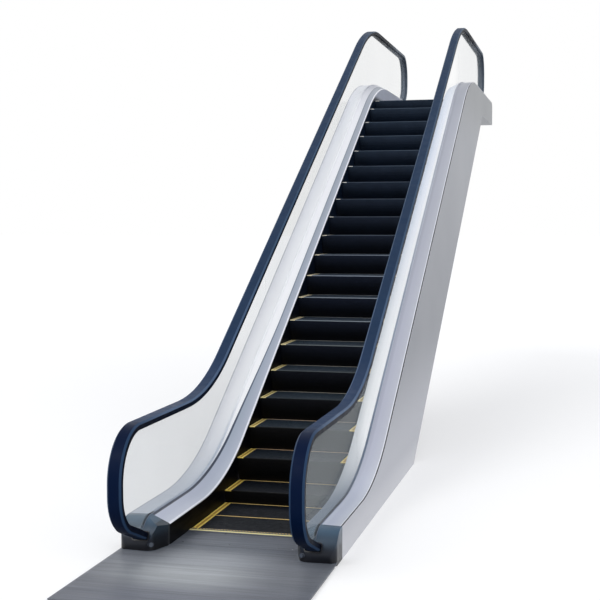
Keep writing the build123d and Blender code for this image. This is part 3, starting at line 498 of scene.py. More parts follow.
def right_veil(paint):
    """Strength of the veil in the right panes, which are clearer near the deck along the incline."""
    y = paint.axis("Y")
    incline = paint.math("ADD", paint.math("MULTIPLY", y, SLOPE), DECK_CROWN_START)
    above_deck = paint.math("SUBTRACT", paint.axis("Z"), paint.math("MAXIMUM", DECK_CROWN_LOW, incline))
    lower_end, upper_end = [paint.ramp(y, *end) for end in RIGHT_FOOT_ENDS]
    ends = paint.math("ADD", lower_end, upper_end)
    foot = paint.math("MINIMUM", paint.math("ADD", paint.ramp(above_deck, *RIGHT_FOOT), ends), 1.0)
    return paint.math("MULTIPLY", foot, paint.ramp(y, *RIGHT_VEIL_HIGH))


def clear_glass():
    """Clear pane with a thin grey veil and faint smears, clearer still on the faces of its joints."""
    paint = Paint("balustrade_glass", roughness=0.05, Specular_IOR_Level=0.3)
    smears = paint.ramp(paint.noise(1.1, detail=2.0), *SMEAR_SPAN, *VEIL)
    joint_face = paint.math("GREATER_THAN", paint.facing("Y"), SQUARE_ON)
    seen = paint.math("SUBTRACT", 1.0, paint.math("MULTIPLY", joint_face, JOINT_CLEARNESS))
    left, right = left_veil(paint), right_veil(paint)
    more_on_left = paint.math("MULTIPLY", paint.on_left(), paint.math("SUBTRACT", left, right))
    side_veil = paint.math("ADD", right, more_on_left)
    paint.link(paint.math("MULTIPLY", paint.math("MULTIPLY", smears, seen), side_veil), "Alpha")
    paint.link(paint.mottled(srgb(176, 186, 190), spread=0.03, scale=1.5), "Base Color")
    return paint.material


def riser_paint():
    """Step casting: navy, painted black with shade low in the run and darker with painted shade where its
    faces turn down, so it is lighter under each nosing.
    """
    paint = Paint("step_casting", roughness=0.6, Specular_IOR_Level=0.12)
    top = paint.along("Z", RISER_TOP_STOPS)
    foot = paint.along("Z", RISER_FOOT_STOPS)
    # Faces turning down take the darker foot tone as painted shade
    color = paint.blend(paint.ramp(paint.facing("Z"), *RISER_TURNS_DOWN), top, foot)
    paint.clouded(color, scale=8.0, darkest=0.85)
    paint.rough(0.55, 0.68, scale=30.0)
    paint.grain(scale=150.0, strength=0.06)
    return paint.material


def tread_paint():
    """Top of the cleats, slate low in the run and navy higher up."""
    paint = Paint("tread_cleats", roughness=0.5, Specular_IOR_Level=0.2)
    paint.clouded(paint.along("Z", TREAD_STOPS), scale=5.0, darkest=0.88)
    paint.rough(0.45, 0.58, scale=24.0)
    paint.grain(scale=150.0, strength=0.06)
    return paint.material


def nosing_paint():
    """Front edge of the treads with the side markings carried over it; its tone is a painted highlight,
    brightest partway up the run.
    """
    paint = Paint("step_nosing", roughness=0.4, Specular_IOR_Level=0.3)
    beside = paint.math("GREATER_THAN", paint.across(), STEP_HALF - EDGE_STRIP)
    color = paint.blend(beside, paint.along("Z", NOSING_HIGHLIGHT_STOPS), paint.along("Z", MARK_STOPS))
    paint.clouded(color, scale=9.0, darkest=0.88)
    paint.rough(0.34, 0.48, scale=24.0)
    paint.grain(scale=150.0, strength=0.04, depth=0.0003)
    return paint.material


def marking_paint():
    """Edge marking: bright borders beside a duller middle, with wear in places, paler up the run with painted
    light, and its rear line darker up the run with painted shade.
    """
    paint = Paint("edge_marking", roughness=0.4)
    inset = paint.math("SUBTRACT", STEP_HALF, paint.across())
    border = paint.ramp(paint.apart(inset, EDGE_STRIP / 2), *MARK_BORDER)
    sides = paint.blend(border, paint.along("Z", MARK_MIDDLE_STOPS), paint.along("Z", MARK_STOPS))
    rear = paint.along("Z", MARK_REAR_STOPS)
    color = paint.blend(paint.math("GREATER_THAN", inset, EDGE_STRIP), sides, rear)
    wear = paint.ramp(paint.noise(38.0, detail=5.0), *WEAR_SPAN)
    paint.link(paint.blend(wear, color, paint.scaled(color, factor=0.72)), "Base Color")
    paint.rough(0.34, 0.5, scale=24.0)
    paint.grain(scale=160.0, strength=0.06)
    return paint.material


def comb_paint():
    """Yellow comb segments on a grey bar."""
    paint = Paint("comb_marking", roughness=0.4)
    lower, upper = [paint.apart(paint.axis("Y"), place) for place in COMB_YELLOW_PLACES]
    beyond = paint.math("GREATER_THAN", paint.math("MINIMUM", lower, upper), COMB_YELLOW_HALF)
    yellow = paint.mottled(srgb(255, 240, 164), spread=0.05, scale=12.0)
    grey = paint.mottled(srgb(84, 88, 98), spread=0.08, scale=12.0)
    paint.link(paint.blend(beyond, yellow, grey), "Base Color")
    paint.rough(0.32, 0.5, scale=24.0)
    paint.grain(scale=160.0, strength=0.06)
    return paint.material


def skirt_metal():
    """Dark satin skirt: painted near black with shade low in the well, navy higher up, and pale with painted
    light above the upper floor.
    """
    paint = Paint("skirt_metal", roughness=0.42, Specular_IOR_Level=0.04)
    paint.clouded(paint.along("Z", SKIRT_STOPS), scale=5.0, darkest=0.95)
    paint.rough(0.38, 0.46, scale=5.0, squeeze=SKIRT_BRUSHED)
    paint.grain(scale=60.0, strength=0.02, detail=3.0)
    return paint.material


def cap_plastic():
    """Moulded cap: slate on top and near black at its foot, with its inner flank darkened further as painted
    shade.
    """
    paint = Paint(
        "newel_cap_plastic", roughness=0.36, Specular_IOR_Level=0.25, Coat_Weight=0.1, Coat_Roughness=0.25)
    z = paint.axis("Z")
    on_upper = paint.math("GREATER_THAN", z, BELOW_UPPER_CAPS)
    height = paint.math("SUBTRACT", z, paint.math("MULTIPLY", on_upper, UPPER_FLOOR - LOWER_FLOOR))
    color = paint.stops(height, CAP_STOPS)
    # Painted shade on the inner flank
    inside = paint.math("LESS_THAN", paint.across(), CAP_INNER_ACROSS)
    flank = paint.math("MULTIPLY", inside, paint.ramp(paint.facing("X"), *CAP_FLANK))
    color = paint.blend(flank, color, paint.scaled(color, CAP_FLANK_SHADE))
    paint.clouded(color, scale=10.0, darkest=0.9)
    paint.rough(0.3, 0.42, scale=18.0)
    paint.grain(scale=150.0, strength=0.04)
    return paint.material


def floor_metal():
    """Brushed landing plate: fine streaks across, a painted highlight in its middle and darker by the comb.
    """
    paint = Paint("landing_metal", roughness=0.42, Metallic=0.2, Anisotropic=0.5)
    streaks = paint.noise(5.0, detail=6.0, squeeze=PLATE_STREAKS)
    fine = paint.noise(14.0, detail=3.0, squeeze=PLATE_FINE_STREAKS)
    wide = paint.noise(3.0, detail=8.0, squeeze=PLATE_WIDE_STREAKS)
    rim = paint.along("Y", PLATE_RIM_STOPS)
    middle = paint.along("Y", PLATE_HIGHLIGHT_STOPS)
    # Painted highlight across the middle of the plate
    aside = paint.apart(paint.axis("X"), PLATE_HIGHLIGHT_X)
    color = paint.blend(paint.ramp(aside, *PLATE_HIGHLIGHT_FADES), middle, rim)
    color = paint.blend(paint.ramp(wide, *WIDE_STREAK_SPAN), paint.scaled(color, factor=0.84), color)
    color = paint.blend(paint.ramp(fine, *BRUSH_SPAN), paint.scaled(color, factor=0.9), color)
    paint.link(color, "Base Color")
    paint.link(paint.ramp(streaks, *CLOUD_SPAN, out_low=0.36, out_high=0.5), "Roughness")
    paint.bump(fine, strength=0.1, depth=BRUSH_DEPTH)
    return paint.material


def cladding_paint():
    """Smooth silver cladding with a broad soft gradient up its height, painted light and shade."""
    paint = Paint("cladding_paint", roughness=0.42, Metallic=0.2)
    paint.clouded(paint.along("Z", CLADDING_STOPS), scale=0.6, darkest=0.98)
    paint.rough(0.4, 0.44, scale=0.8)
    paint.grain(scale=120.0, strength=0.02)
    return paint.material


def seam_filler():
    """Joint line beside the cladding, in lit and shaded copies: light on the left balustrade, dark with
    painted shade on the right.
    """
    paint = Paint("seam_filler", roughness=0.6, Specular_IOR_Level=0.2)
    color = paint.blend(paint.on_left(), srgb(58, 58, 64), srgb(186, 188, 196))
    paint.clouded(color, scale=9.0, darkest=0.85)
    paint.rough(0.55, 0.66, scale=12.0)
    return paint.material


M_HANDRAIL = handrail_rubber()
M_GUIDE = guide_profile()
M_GLASS = clear_glass()
M_GASKET = gasket_rubber()
# The four deck metals are lit and shaded copies of one satin metal, their tones painted light and shade
M_INNER_LEFT = deck_metal("inner_deck_left_metal", LEFT_INNER_STOPS, widens=True, highlight_starts=INNER_HIGHLIGHT_EDGE)
M_INNER_RIGHT = deck_metal("inner_deck_right_metal", RIGHT_INNER_STOPS)
M_OUTER_LEFT = deck_metal("outer_deck_left_metal", LEFT_OUTER_STOPS)
M_OUTER_RIGHT = deck_metal("outer_deck_right_metal", RIGHT_OUTER_STOPS, highlight_starts=OUTER_HIGHLIGHT_EDGE)
M_SKIRT = skirt_metal()
M_CAP = cap_plastic()
M_COLLAR = satin("collar_rubber", (16, 18, 26), roughness=0.28, Coat_Weight=0.3)
M_BUTTON = satin("button_plastic", (78, 86, 98), roughness=0.3)
M_STEP = riser_paint()
M_TREAD = tread_paint()
M_MARK = marking_paint()
M_COMB = comb_paint()
M_FLOOR = floor_metal()
M_CLAD = cladding_paint()
M_FRAME = satin("frame_paint", (92, 95, 102), roughness=0.55)
M_CHAIN = satin("chain_steel", (88, 88, 92), roughness=0.35, metallic=0.8)
M_LIP = satin("lip_metal", (236, 239, 246), roughness=0.22, metallic=0.4)
M_SEAM = seam_filler()
M_BEZEL = satin("button_bezel", (52, 58, 70), roughness=0.34, metallic=0.2)
M_TRIM = satin("cap_trim", (104, 110, 120), roughness=0.4, metallic=0.3)
M_SCREW = satin("screw_steel", (128, 131, 138), roughness=0.28, metallic=0.8)
M_NOSING = nosing_paint()

# The first key found in a node's name gives its finish, and the rest is framework
NODE_PAINTS = {
    "handrail_inlets": M_COLLAR,
    "handrail_guide": M_GUIDE,
    "handrail_": M_HANDRAIL,
    "_glass": M_GLASS,
    "glass_clamp": M_GASKET,
    "inner_deck_left": M_INNER_LEFT,
    "inner_deck_right": M_INNER_RIGHT,
    "outer_deck_left": M_OUTER_LEFT,
    "outer_deck_right": M_OUTER_RIGHT,
    "skirt": M_SKIRT,
    "newel_cap": M_CAP,
    "stop_buttons": M_BUTTON,
    "step_edges": M_MARK,
    "step_chains": M_CHAIN,
    "steps_": M_STEP,
    "_plate": M_FLOOR,
    "_comb": M_COMB,
    "_panel": M_CLAD,
}


def paint_for(name):
    """Finish of a CAD node."""
    for key, material in NODE_PAINTS.items():
        if key in name:
            return material
    return M_FRAME


for name, node in NODES.items():
    for slot in node.material_slots:
        slot.material = paint_for(name)


def make_piece(name, parts, material, smooth=False):
    """Mesh of one or more (vertices, faces) that rides with the object and takes its finish from one slot."""
    vertices = []
    faces = []
    for part_vertices, part_faces in parts:
        base = len(vertices)
        vertices += part_vertices
        faces += [tuple(base + v for v in face) for face in part_faces]
    mesh = bpy.data.meshes.new(name)
    mesh.from_pydata(vertices, [], faces)
    mesh.update()
    for polygon in mesh.polygons:
        polygon.use_smooth = smooth
    mesh.materials.append(material)
    piece = bpy.data.objects.new(name, mesh)
    bpy.context.scene.collection.objects.link(piece)
    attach(piece, "root")


def block(left, right, front, back, foot, height):
    """Vertices and faces of a box without its bottom."""
    ring = ((left, front), (right, front), (right, back), (left, back))
    vertices = [(x, y, z) for z in (foot, foot + height) for x, y in ring]
    return vertices, [(4, 5, 6, 7), (0, 1, 5, 4), (1, 2, 6, 5), (2, 3, 7, 6), (3, 0, 4, 7)]


def ring_faces(rings, points):
    """Faces between stacked rings of points, with the last ring closed."""
    faces = []
    for start in range(0, (rings - 1) * points, points):
        for k in range(points):
            a = start + k
            b = start + (k + 1) % points
            faces.append((a, b, b + points, a + points))
    faces.append(tuple(range((rings - 1) * points, rings * points)))
    return faces


def sweep(path, section):
    """Vertices and faces of a closed section (x, offset) moved along a path of (y, z)."""
    vertices = []
    for n, (y, z) in enumerate(path):
        before = path[max(n - 1, 0)]
        after = path[min(n + 1, len(path) - 1)]
        along = Vector((after[0] - before[0], after[1] - before[1])).normalized()
        for x, offset in section:
            vertices.append((x, y - along.y * offset, z + along.x * offset))
    size = len(section)
    faces = [tuple(range(size)), tuple(reversed(range(len(vertices) - size, len(vertices))))]
    for n in range(len(path) - 1):
        for k in range(size):
            a = n * size + k
            b = n * size + (k + 1) % size
            faces.append((a, a + size, b + size, b))
    return vertices, faces


def flat_section(first, second, low, high):
    """Section of a strip between two places across and two heights."""
    return [(first, low), (second, low), (second, high), (first, high)]


# Bent lines along the incline, with lips, seams and the band in the glass foot
BEND_TURNS = 24


def bent_line(low, high, above_nosing, lower_radius, upper_radius):
    """Points (y, z) between the caps of a line that is level, inclined and level, with round bends."""
    bottom = LOWER_FLOOR + low
    top = UPPER_FLOOR + high
    lower_knee = INCLINE_FOOT + (bottom - LOWER_FLOOR - above_nosing) / SLOPE
    upper_knee = INCLINE_FOOT + (top - LOWER_FLOOR - above_nosing) / SLOPE
    start = lower_knee - lower_radius * tan(INCLINE / 2)
    stop = upper_knee + upper_radius * tan(INCLINE / 2)
    points = [(CAP_BACKS[0], bottom)]
    for n in range(BEND_TURNS + 1):
        turn = INCLINE * n / BEND_TURNS
        points.append((start + lower_radius * sin(turn), bottom + lower_radius * (1 - cos(turn))))
    for n in range(BEND_TURNS + 1):
        turn = INCLINE * (1 - n / BEND_TURNS)
        points.append((stop - upper_radius * sin(turn), top - upper_radius * (1 - cos(turn))))
    points.append((CAP_BACKS[1], top))
    return points


lip_path = bent_line(LIP_LOW, LIP_HIGH, LIP_ABOVE_NOSING, DECK_LOWER_RADIUS, DECK_UPPER_RADIUS)
deck_path = bent_line(
    LIP_LOW + DECK_RISE, LIP_HIGH + DECK_RISE, LIP_ABOVE_NOSING + DECK_RISE / cos(INCLINE),
    DECK_LOWER_RADIUS - DECK_RISE, DECK_UPPER_RADIUS + DECK_RISE)

LIP_RADIUS = 0.005
LIP_OVER_SKIRT = 0.003
LIP_POINTS = 12
lips = []
for side in SIDES:
    section = []
    for k in range(LIP_POINTS):
        angle = 2 * pi * k / LIP_POINTS
        x = side * (SKIRT_INNER + LIP_OVER_SKIRT) + LIP_RADIUS * cos(angle)
        section.append((x, LIP_RADIUS * sin(angle)))
    lips.append(sweep(lip_path, section))
make_piece("deck_lips", lips, M_LIP, smooth=True)

BAND_INSET = 0.0002
BAND_BELOW_CLAMP = 0.0008
BAND_HEIGHT = 0.0010
BAND_HALF = GLASS_THICKNESS / 2 - BAND_INSET
BAND_TOP = CLAMP_STAND - BAND_BELOW_CLAMP
bands = []
for side in SIDES:
    middle = side * GLASS_PLANE
    bands.append(sweep(
        deck_path, flat_section(middle - BAND_HALF, middle + BAND_HALF, BAND_TOP - BAND_HEIGHT, BAND_TOP)))
make_piece("glass_foot_bands", bands, M_GASKET)

SEAM_WIDTH = 0.009
SEAM_SUNK = 0.001
SEAM_PROUD = 0.0006
seams = []
for side in SIDES:
    seams.append(sweep(
        deck_path, flat_section(side * OUTER_FACE, side * (OUTER_FACE - SEAM_WIDTH), -SEAM_SUNK, SEAM_PROUD)))
make_piece("deck_seams", seams, M_SEAM)


# Step path: level, lower arc, straight, upper arc, level
LOWER_ARC = LOWER_STEP_RADIUS * INCLINE
UPPER_ARC = UPPER_STEP_RADIUS * INCLINE
PATH_TOP = INCLINE_FOOT + (UPPER_FLOOR - LOWER_FLOOR) / SLOPE
LOWER_TANGENT = INCLINE_FOOT - LOWER_STEP_RADIUS * tan(INCLINE / 2)
UPPER_TANGENT = PATH_TOP + UPPER_STEP_RADIUS * tan(INCLINE / 2)
INCLINE_START = INCLINE_FOOT + LOWER_STEP_RADIUS * tan(INCLINE / 2) * cos(INCLINE)
INCLINE_STOP = PATH_TOP - UPPER_STEP_RADIUS * tan(INCLINE / 2) * cos(INCLINE)
STRAIGHT = (INCLINE_STOP - INCLINE_START) / cos(INCLINE)


def nosing_at(travel):
    """Nosing position (y, z) after a distance along the step path from the lower comb."""
    along = travel - LOWER_TANGENT
    if along < 0:
        return travel, LOWER_FLOOR
    if along < LOWER_ARC:
        turn = along / LOWER_STEP_RADIUS
        y = LOWER_TANGENT + LOWER_STEP_RADIUS * sin(turn)
        return y, LOWER_FLOOR + LOWER_STEP_RADIUS * (1 - cos(turn))
    along -= LOWER_ARC
    if along < STRAIGHT:
        y = INCLINE_START + along * cos(INCLINE)
        return y, LOWER_FLOOR + (y - INCLINE_FOOT) * SLOPE
    along -= STRAIGHT
    if along < UPPER_ARC:
        turn = (UPPER_ARC - along) / UPPER_STEP_RADIUS
        y = UPPER_TANGENT - UPPER_STEP_RADIUS * sin(turn)
        return y, UPPER_FLOOR - UPPER_STEP_RADIUS * (1 - cos(turn))
    return UPPER_TANGENT + along - UPPER_ARC, UPPER_FLOOR


nosings = []
travel = FIRST_NOSING
while nosing_at(travel)[0] < UPPER_COMB - TREAD_DEPTH / 2:
    nosings.append(nosing_at(travel))
    travel += CHAIN_PITCH

# Treads and risers: cleats, rear lines and nosing edges
CLEAT_PITCH = 0.009
CLEAT_WIDTH = 0.0045
CLEAT_HEIGHT = 0.0009
CLEAT_SETBACK = 0.0005
SHORTEST_CLEAT = 0.020
RISER_CLEAT_HEIGHT = 0.0012
RISER_STEPS = 6
MARK_INSIDE = STEP_HALF - EDGE_STRIP


def cleat_sides(count):
    """Left and right side of each of a row of cleats."""
    middles = [(k - (count - 1) / 2) * CLEAT_PITCH for k in range(count)]
    return [(x - CLEAT_WIDTH / 2, x + CLEAT_WIDTH / 2) for x in middles]


def tread_cleats(y, z):
    """Cleats between the side markings of one tread."""
    front = max(y + CLEAT_SETBACK, LOWER_TRIM)
    back = min(y + TREAD_DEPTH - REAR_STRIP, UPPER_TRIM)
    if back - front < SHORTEST_CLEAT:
        return []
    sides = cleat_sides(int(2 * MARK_INSIDE / CLEAT_PITCH))
    return [block(low, high, front, back, z, CLEAT_HEIGHT) for low, high in sides]


def riser_cleats(y, z):
    """Cleats down one curved riser, cut off at the base frame."""
    rows = []
    for n in range(RISER_STEPS + 1):
        turn = RISER_SWEEP * n / RISER_STEPS
        inner = (y + TREAD_DEPTH * (1 - cos(turn)), z - TREAD_DEPTH * sin(turn))
        if inner[1] < BASE_FRAME_TOP:
            break
        reach = TREAD_DEPTH + RISER_CLEAT_HEIGHT
        rows.append((inner, (y + TREAD_DEPTH - reach * cos(turn), z - reach * sin(turn))))
    if len(rows) < 2:
        return []
    faces = [(0, 3, 2, 1)]
    for a in range(0, 4 * len(rows) - 4, 4):
        faces += [(a, a + 1, a + 5, a + 4), (a + 1, a + 2, a + 6, a + 5), (a + 2, a + 3, a + 7, a + 6)]
    cleats = []
    for low, high in cleat_sides(int(2 * STEP_HALF / CLEAT_PITCH) - 1):
        vertices = []
        for inner, outer in rows:
            vertices += [(low, *inner), (low, *outer), (high, *outer), (high, *inner)]
        cleats.append((vertices, faces))
    return cleats


on_treads = [cleat for y, z in nosings for cleat in tread_cleats(y, z)]
make_piece("tread_cleats", on_treads, M_TREAD)
on_risers = [cleat for y, z in nosings[1:] for cleat in riser_cleats(y, z)]
make_piece("riser_cleats", on_risers, M_STEP)

REAR_LINE_PROUD = 0.0016
REAR_LINE_SETBACK = 0.0015
NARROWEST_REAR_LINE = 0.004
rear_lines = []
for y, z in nosings:
    front = max(y + TREAD_DEPTH - REAR_STRIP, LOWER_TRIM)
    back = y + TREAD_DEPTH - REAR_LINE_SETBACK
    if front <= back - NARROWEST_REAR_LINE and back <= UPPER_TRIM:
        rear_lines.append(block(-MARK_INSIDE, MARK_INSIDE, front, back, z, REAR_LINE_PROUD))
make_piece("rear_lines", rear_lines, M_MARK)

NOSING_DEPTH = 0.006
NOSING_PROUD = 0.0016
NOSING_RISE = 0.0012


def nosing_edge(y, z):
    """Edge along the front of one tread, with a bevel on its upper corner."""
    profile = (
        (y - NOSING_PROUD, z - NOSING_DEPTH), (y - NOSING_PROUD, z + NOSING_RISE / 3),
        (y - NOSING_PROUD / 3, z + NOSING_RISE), (y + NOSING_DEPTH, z + NOSING_RISE),
        (y + NOSING_DEPTH, z - NOSING_DEPTH))
    count = len(profile)
    vertices = [(x, *point) for x in (-STEP_HALF, STEP_HALF) for point in profile]
    faces = [(k, (k + 1) % count, count + (k + 1) % count, count + k) for k in range(count)]
    faces += [tuple(reversed(range(count))), tuple(range(count, 2 * count))]
    return vertices, faces


nosing_edges = [nosing_edge(y, z) for y, z in nosings[1:] if LOWER_TRIM <= y <= UPPER_TRIM - NOSING_DEPTH]
make_piece("nosing_edges", nosing_edges, M_NOSING)


# Caps: gasket lips beside the glass, a trim round the foot and an oval bezel round each button
Cap = namedtuple("Cap", "side toward back floor crown outer")
CAP_ENDS = (
    (-1, CAP_BACKS[0], LOWER_FLOOR, LIP_LOW, OUTER_FACE),
    (1, CAP_BACKS[1], UPPER_FLOOR, LIP_HIGH, OUTER_FACE - CLADDING_THICKNESS),
)
CAPS = [
    Cap(side, toward, back, floor, floor + lip + DECK_RISE + DECK_THICKNESS, outer)
    for toward, back, floor, lip, outer in CAP_ENDS for side in SIDES]

GASKET_INSIDE = 0.0062
GASKET_OUTSIDE = 0.0105
GASKET_PROUD = 0.004
GASKET_SUNK = 0.003
GASKET_SWEEP = radians(49)
GASKET_TURNS = 14


def cap_gaskets(cap):
    """Two rubber lips that carry the gasket line over the top of a cap."""
    slant = (CAP_INNER_REACH - CAP_OUTER_REACH) / (cap.outer - CAP_INNER_ACROSS)
    reach = CAP_INNER_REACH - (GLASS_PLANE - CAP_INNER_ACROSS) * slant
    middle = cap.back + cap.toward * (reach - CAP_FRONT_RADIUS)
    path = [(cap.back, cap.crown)]
    for n in range(GASKET_TURNS + 1):
        turn = GASKET_SWEEP * n / GASKET_TURNS
        y = middle + cap.toward * CAP_FRONT_RADIUS * sin(turn)
        path.append((y, cap.crown - CAP_FRONT_RADIUS * (1 - cos(turn))))
    if cap.toward < 0:
        path.reverse()
    out = []
    for way in SIDES:
        near = cap.side * GLASS_PLANE + way * GASKET_INSIDE
        far = cap.side * GLASS_PLANE + way * GASKET_OUTSIDE
        out.append(sweep(path, flat_section(near, far, -GASKET_SUNK, GASKET_PROUD)))
    return out


over_caps = [gasket for cap in CAPS for gasket in cap_gaskets(cap)]
make_piece("cap_gaskets", over_caps, M_GASKET)


def corner_round(before, corner, after, radius):
    """Way inward from a plan corner, centre of its round, and where the round meets both sides."""
    to_before = (before - corner).normalized()
    to_after = (after - corner).normalized()
    half = to_before.angle(to_after) / 2
    inward = (to_before + to_after).normalized()
    centre = corner + inward * (radius / sin(half))
    reach = radius / tan(half)
    return inward, centre, corner + to_before * reach, corner + to_after * reach


def cap_corners(cap):
    """Plan corners of a cap from its inner flank round the front to its outer side."""
    corners = (
        (SKIRT_INNER, 0.0), (SKIRT_INNER, CAP_FLANK_REACH), (CAP_INNER_ACROSS, CAP_INNER_REACH),
        (cap.outer, CAP_OUTER_REACH), (cap.outer, 0.0))
    return [Vector((cap.side * across, cap.back + cap.toward * reach)) for across, reach in corners]


CORNER_TURNS = 10


def cap_plan(cap):
    """Plan line of a cap with its two front corners rounded."""
    corners = cap_corners(cap)
    points = corners[:2]
    for n, radius in ((2, CAP_INNER_CORNER), (3, CAP_OUTER_CORNER)):
        centre, start, stop = corner_round(corners[n - 1], corners[n], corners[n + 1], radius)[1:]
        start -= centre
        stop -= centre
        angle = start.angle(stop)
        for k in range(CORNER_TURNS + 1):
            share = k / CORNER_TURNS
            point = (start * sin((1 - share) * angle) + stop * sin(share * angle)) / sin(angle)
            points.append(centre + point)
    points.append(corners[-1])
    return points


TRIM_WIDTH = 0.009
TRIM_HEIGHT = 0.0025
TRIM_INSET = 0.0005


def cap_trim(cap):
    """Low strip round the foot of a cap, slanting away from it."""
    plan = cap_plan(cap)
    vertices = []
    for n, point in enumerate(plan):
        along = (plan[min(n + 1, len(plan) - 1)] - plan[max(n - 1, 0)]).normalized()
        away = Vector((along.y, -along.x)) * (cap.side * cap.toward)
        edge = point - away * TRIM_WIDTH
        edge.x = cap.side * min(abs(edge.x), cap.outer - TRIM_INSET)
        for place, height in ((point, 0.0), (point, TRIM_HEIGHT), (edge, TRIM_HEIGHT / 2), (edge, 0.0)):
            vertices.append((place.x, place.y, cap.floor + height))
    faces = []
    for a in range(0, 4 * len(plan) - 4, 4):
        faces += [(a + k, a + 4 + k, a + 5 + k, a + 1 + k) for k in range(3)]
    return vertices, faces


make_piece("cap_trims", [cap_trim(cap) for cap in CAPS], M_TRIM)

# Rings of a bezel: a share of its outline and how far it stands proud
BEZEL_RINGS = ((1.0, -0.001), (0.96, 0.003), (0.80, 0.004), (0.72, 0.0015), (0.45, 0.001))
BEZEL_HALF_WIDTH = 0.024
BEZEL_HALF_HEIGHT = 0.016
BEZEL_POINTS = 32


def bezel(cap):
    """Oval plate wrapped round the rounded inner corner of a cap."""
    flank, inner, front = cap_corners(cap)[1:4]
    inward, centre = corner_round(flank, inner, front, CAP_INNER_CORNER)[:2]
    vertices = []
    for share, proud in BEZEL_RINGS:
        for k in range(BEZEL_POINTS):
            angle = 2 * pi * k / BEZEL_POINTS
            turn = BEZEL_HALF_WIDTH * share * cos(angle) / CAP_INNER_CORNER
            height = BEZEL_HALF_HEIGHT * share * sin(angle)
            outward = Vector((
                -inward.x * cos(turn) + inward.y * sin(turn), -inward.x * sin(turn) - inward.y * cos(turn)))
            place = centre + outward * (CAP_INNER_CORNER + proud)
            vertices.append((place.x, place.y, cap.floor + BUTTON_HEIGHT + height))
    return vertices, ring_faces(len(BEZEL_RINGS), BEZEL_POINTS)


make_piece("button_bezels", [bezel(cap) for cap in CAPS], M_BEZEL, smooth=True)


# Landing plates: raised ribs across, and button-head screws along the comb plates
RIB_PITCH = 0.012
RIB_WIDTH = 0.006
RIB_HEIGHT = 0.0006
PLATE_MARGIN = 0.012
KERB_GAP = 0.004
LOWER_RIB_GAP = 0.002
UPPER_RIB_GAP = 0.006


def ribs(half, start, stop, z):
    """Ribs along X between two places along Y."""
    fronts = [start + n * RIB_PITCH for n in range(int((stop - start) / RIB_PITCH))]
    return [block(-half, half, front, front + RIB_WIDTH, z, RIB_HEIGHT) for front in fronts]


lower_clear = CAP_BACKS[0] - CAP_INNER_REACH - PLATE_MARGIN
upper_clear = CAP_BACKS[1] + CAP_INNER_REACH + PLATE_MARGIN
kerb_inner = OUTER_FACE - CLADDING_THICKNESS - KERB_WIDTH
inner_half = SKIRT_INNER - PLATE_MARGIN
plate_ribs = [
    *ribs(OUTER_FACE - PLATE_MARGIN, FLOOR_FRONT + PLATE_MARGIN, lower_clear, LOWER_FLOOR),
    *ribs(inner_half, lower_clear, -COMB_PLATE_EDGE - LOWER_RIB_GAP, LOWER_FLOOR),
    *ribs(inner_half, UPPER_COMB + COMB_PLATE_EDGE + UPPER_RIB_GAP, upper_clear, UPPER_FLOOR),
    *ribs(kerb_inner - KERB_GAP, upper_clear, FLOOR_END - PLATE_MARGIN, UPPER_FLOOR),
]
make_piece("plate_ribs", plate_ribs, M_FLOOR)

# Rings of a screw head: radius and height, the last two the rim and floor of its recess
SCREW_RINGS = ((0.0065, 0.0), (0.005525, 0.0012), (0.0032, 0.0016), (0.0032, 0.0004))
SCREW_POINTS = 18
SCREWS_ACROSS = 8
SCREW_ROWS = (0.045, 0.315)
SCREW_MARGIN = 0.010


def screw(x, y, z):
    """Low round screw head with a recess."""
    angles = [2 * pi * k / SCREW_POINTS for k in range(SCREW_POINTS)]
    vertices = [
        (x + radius * cos(angle), y + radius * sin(angle), z + height)
        for radius, height in SCREW_RINGS for angle in angles]
    return vertices, ring_faces(len(SCREW_RINGS), SCREW_POINTS)


screws = []
for toward, comb, floor in ((-1, 0.0, LOWER_FLOOR), (1, UPPER_COMB, UPPER_FLOOR)):
    for row in SCREW_ROWS:
        for k in range(SCREWS_ACROSS):
            x = (2 * (k + 0.5) / SCREWS_ACROSS - 1) * (SKIRT_INNER - SCREW_MARGIN)
            screws.append(screw(x, comb + toward * row, floor))
make_piece("comb_plate_screws", screws, M_SCREW)


# Floor and light, which aren't part of the object
STAGE_HALF = 300.0
STAGE_GREY = 0.6
STAGE_GLOW = 0.42
WORLD_TINT = (0.93, 0.95, 1.0, 1.0)
WORLD_LIGHT = 0.68
WHITE = (1.0, 1.0, 1.0, 1.0)


def seen_rays(tree):
    """1 for rays from the camera, off a shiny surface or through glass, 0 for the light that falls."""
    rays = tree.nodes.new("ShaderNodeLightPath")
    seen = rays.outputs["Is Camera Ray"]
    for kind in ("Is Glossy Ray", "Is Transmission Ray"):
        either = tree.nodes.new("ShaderNodeMath")
        either.operation = "MAXIMUM"
        tree.links.new(seen, either.inputs[0])
        tree.links.new(rays.outputs[kind], either.inputs[1])
        seen = either.outputs[0]
    return seen


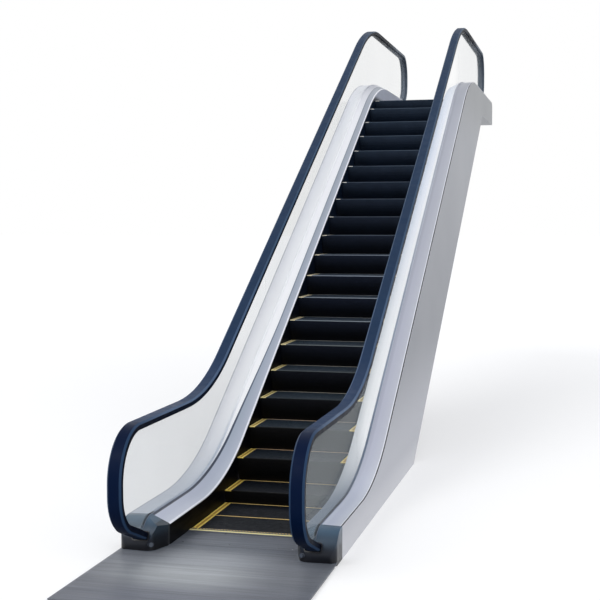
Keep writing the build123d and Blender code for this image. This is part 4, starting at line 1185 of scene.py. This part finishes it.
def stage_material():
    """Pale floor that shows white where no shadow falls."""
    material = bpy.data.materials.new("pale_floor")
    material.use_nodes = True
    tree = material.node_tree
    tree.nodes.clear()
    diffuse = tree.nodes.new("ShaderNodeBsdfDiffuse")
    diffuse.inputs["Color"].default_value = (STAGE_GREY, STAGE_GREY, STAGE_GREY, 1.0)
    strength = tree.nodes.new("ShaderNodeMath")
    strength.operation = "MULTIPLY"
    strength.inputs[1].default_value = STAGE_GLOW
    tree.links.new(seen_rays(tree), strength.inputs[0])
    glow = tree.nodes.new("ShaderNodeEmission")
    glow.inputs["Color"].default_value = WHITE
    tree.links.new(strength.outputs[0], glow.inputs["Strength"])
    add = tree.nodes.new("ShaderNodeAddShader")
    tree.links.new(diffuse.outputs[0], add.inputs[0])
    tree.links.new(glow.outputs[0], add.inputs[1])
    output = tree.nodes.new("ShaderNodeOutputMaterial")
    tree.links.new(add.outputs[0], output.inputs["Surface"])
    return material


def studio_world():
    """White to look at, with a softer light of its own."""
    world = bpy.data.worlds.new("studio_world")
    world.use_nodes = True
    sky = world.node_tree
    sky.nodes.clear()
    mix = sky.nodes.new("ShaderNodeMixShader")
    sky.links.new(seen_rays(sky), mix.inputs[0])
    for n, (tint, strength) in enumerate(((WORLD_TINT, WORLD_LIGHT), (WHITE, 1.0))):
        light = sky.nodes.new("ShaderNodeBackground")
        light.inputs["Color"].default_value = tint
        light.inputs["Strength"].default_value = strength
        sky.links.new(light.outputs[0], mix.inputs[n + 1])
    output = sky.nodes.new("ShaderNodeOutputWorld")
    sky.links.new(mix.outputs[0], output.inputs["Surface"])
    return world


def soft_sun(name, direction, strength, spread):
    """Even light from a wide part of the sky."""
    data = bpy.data.lights.new(name, "SUN")
    data.energy = strength
    data.angle = spread
    lamp = bpy.data.objects.new(name, data)
    lamp.rotation_euler = Vector(direction).to_track_quat("Z", "Y").to_euler()
    bpy.context.scene.collection.objects.link(lamp)


floor_mesh = bpy.data.meshes.new("studio_floor")
floor_mesh.from_pydata(
    [(-STAGE_HALF, -STAGE_HALF, 0), (STAGE_HALF, -STAGE_HALF, 0), (STAGE_HALF, STAGE_HALF, 0),
     (-STAGE_HALF, STAGE_HALF, 0)], [], [(0, 1, 2, 3)])
floor_mesh.materials.append(stage_material())
studio_floor = bpy.data.objects.new("studio_floor", floor_mesh)
bpy.context.scene.collection.objects.link(studio_floor)

bpy.context.scene.world = studio_world()
soft_sun("key_left", direction=(-0.5, -0.6, 0.75), strength=1.15, spread=radians(40))
soft_sun("fill_right", direction=(0.8, -0.55, 0.5), strength=0.95, spread=radians(50))
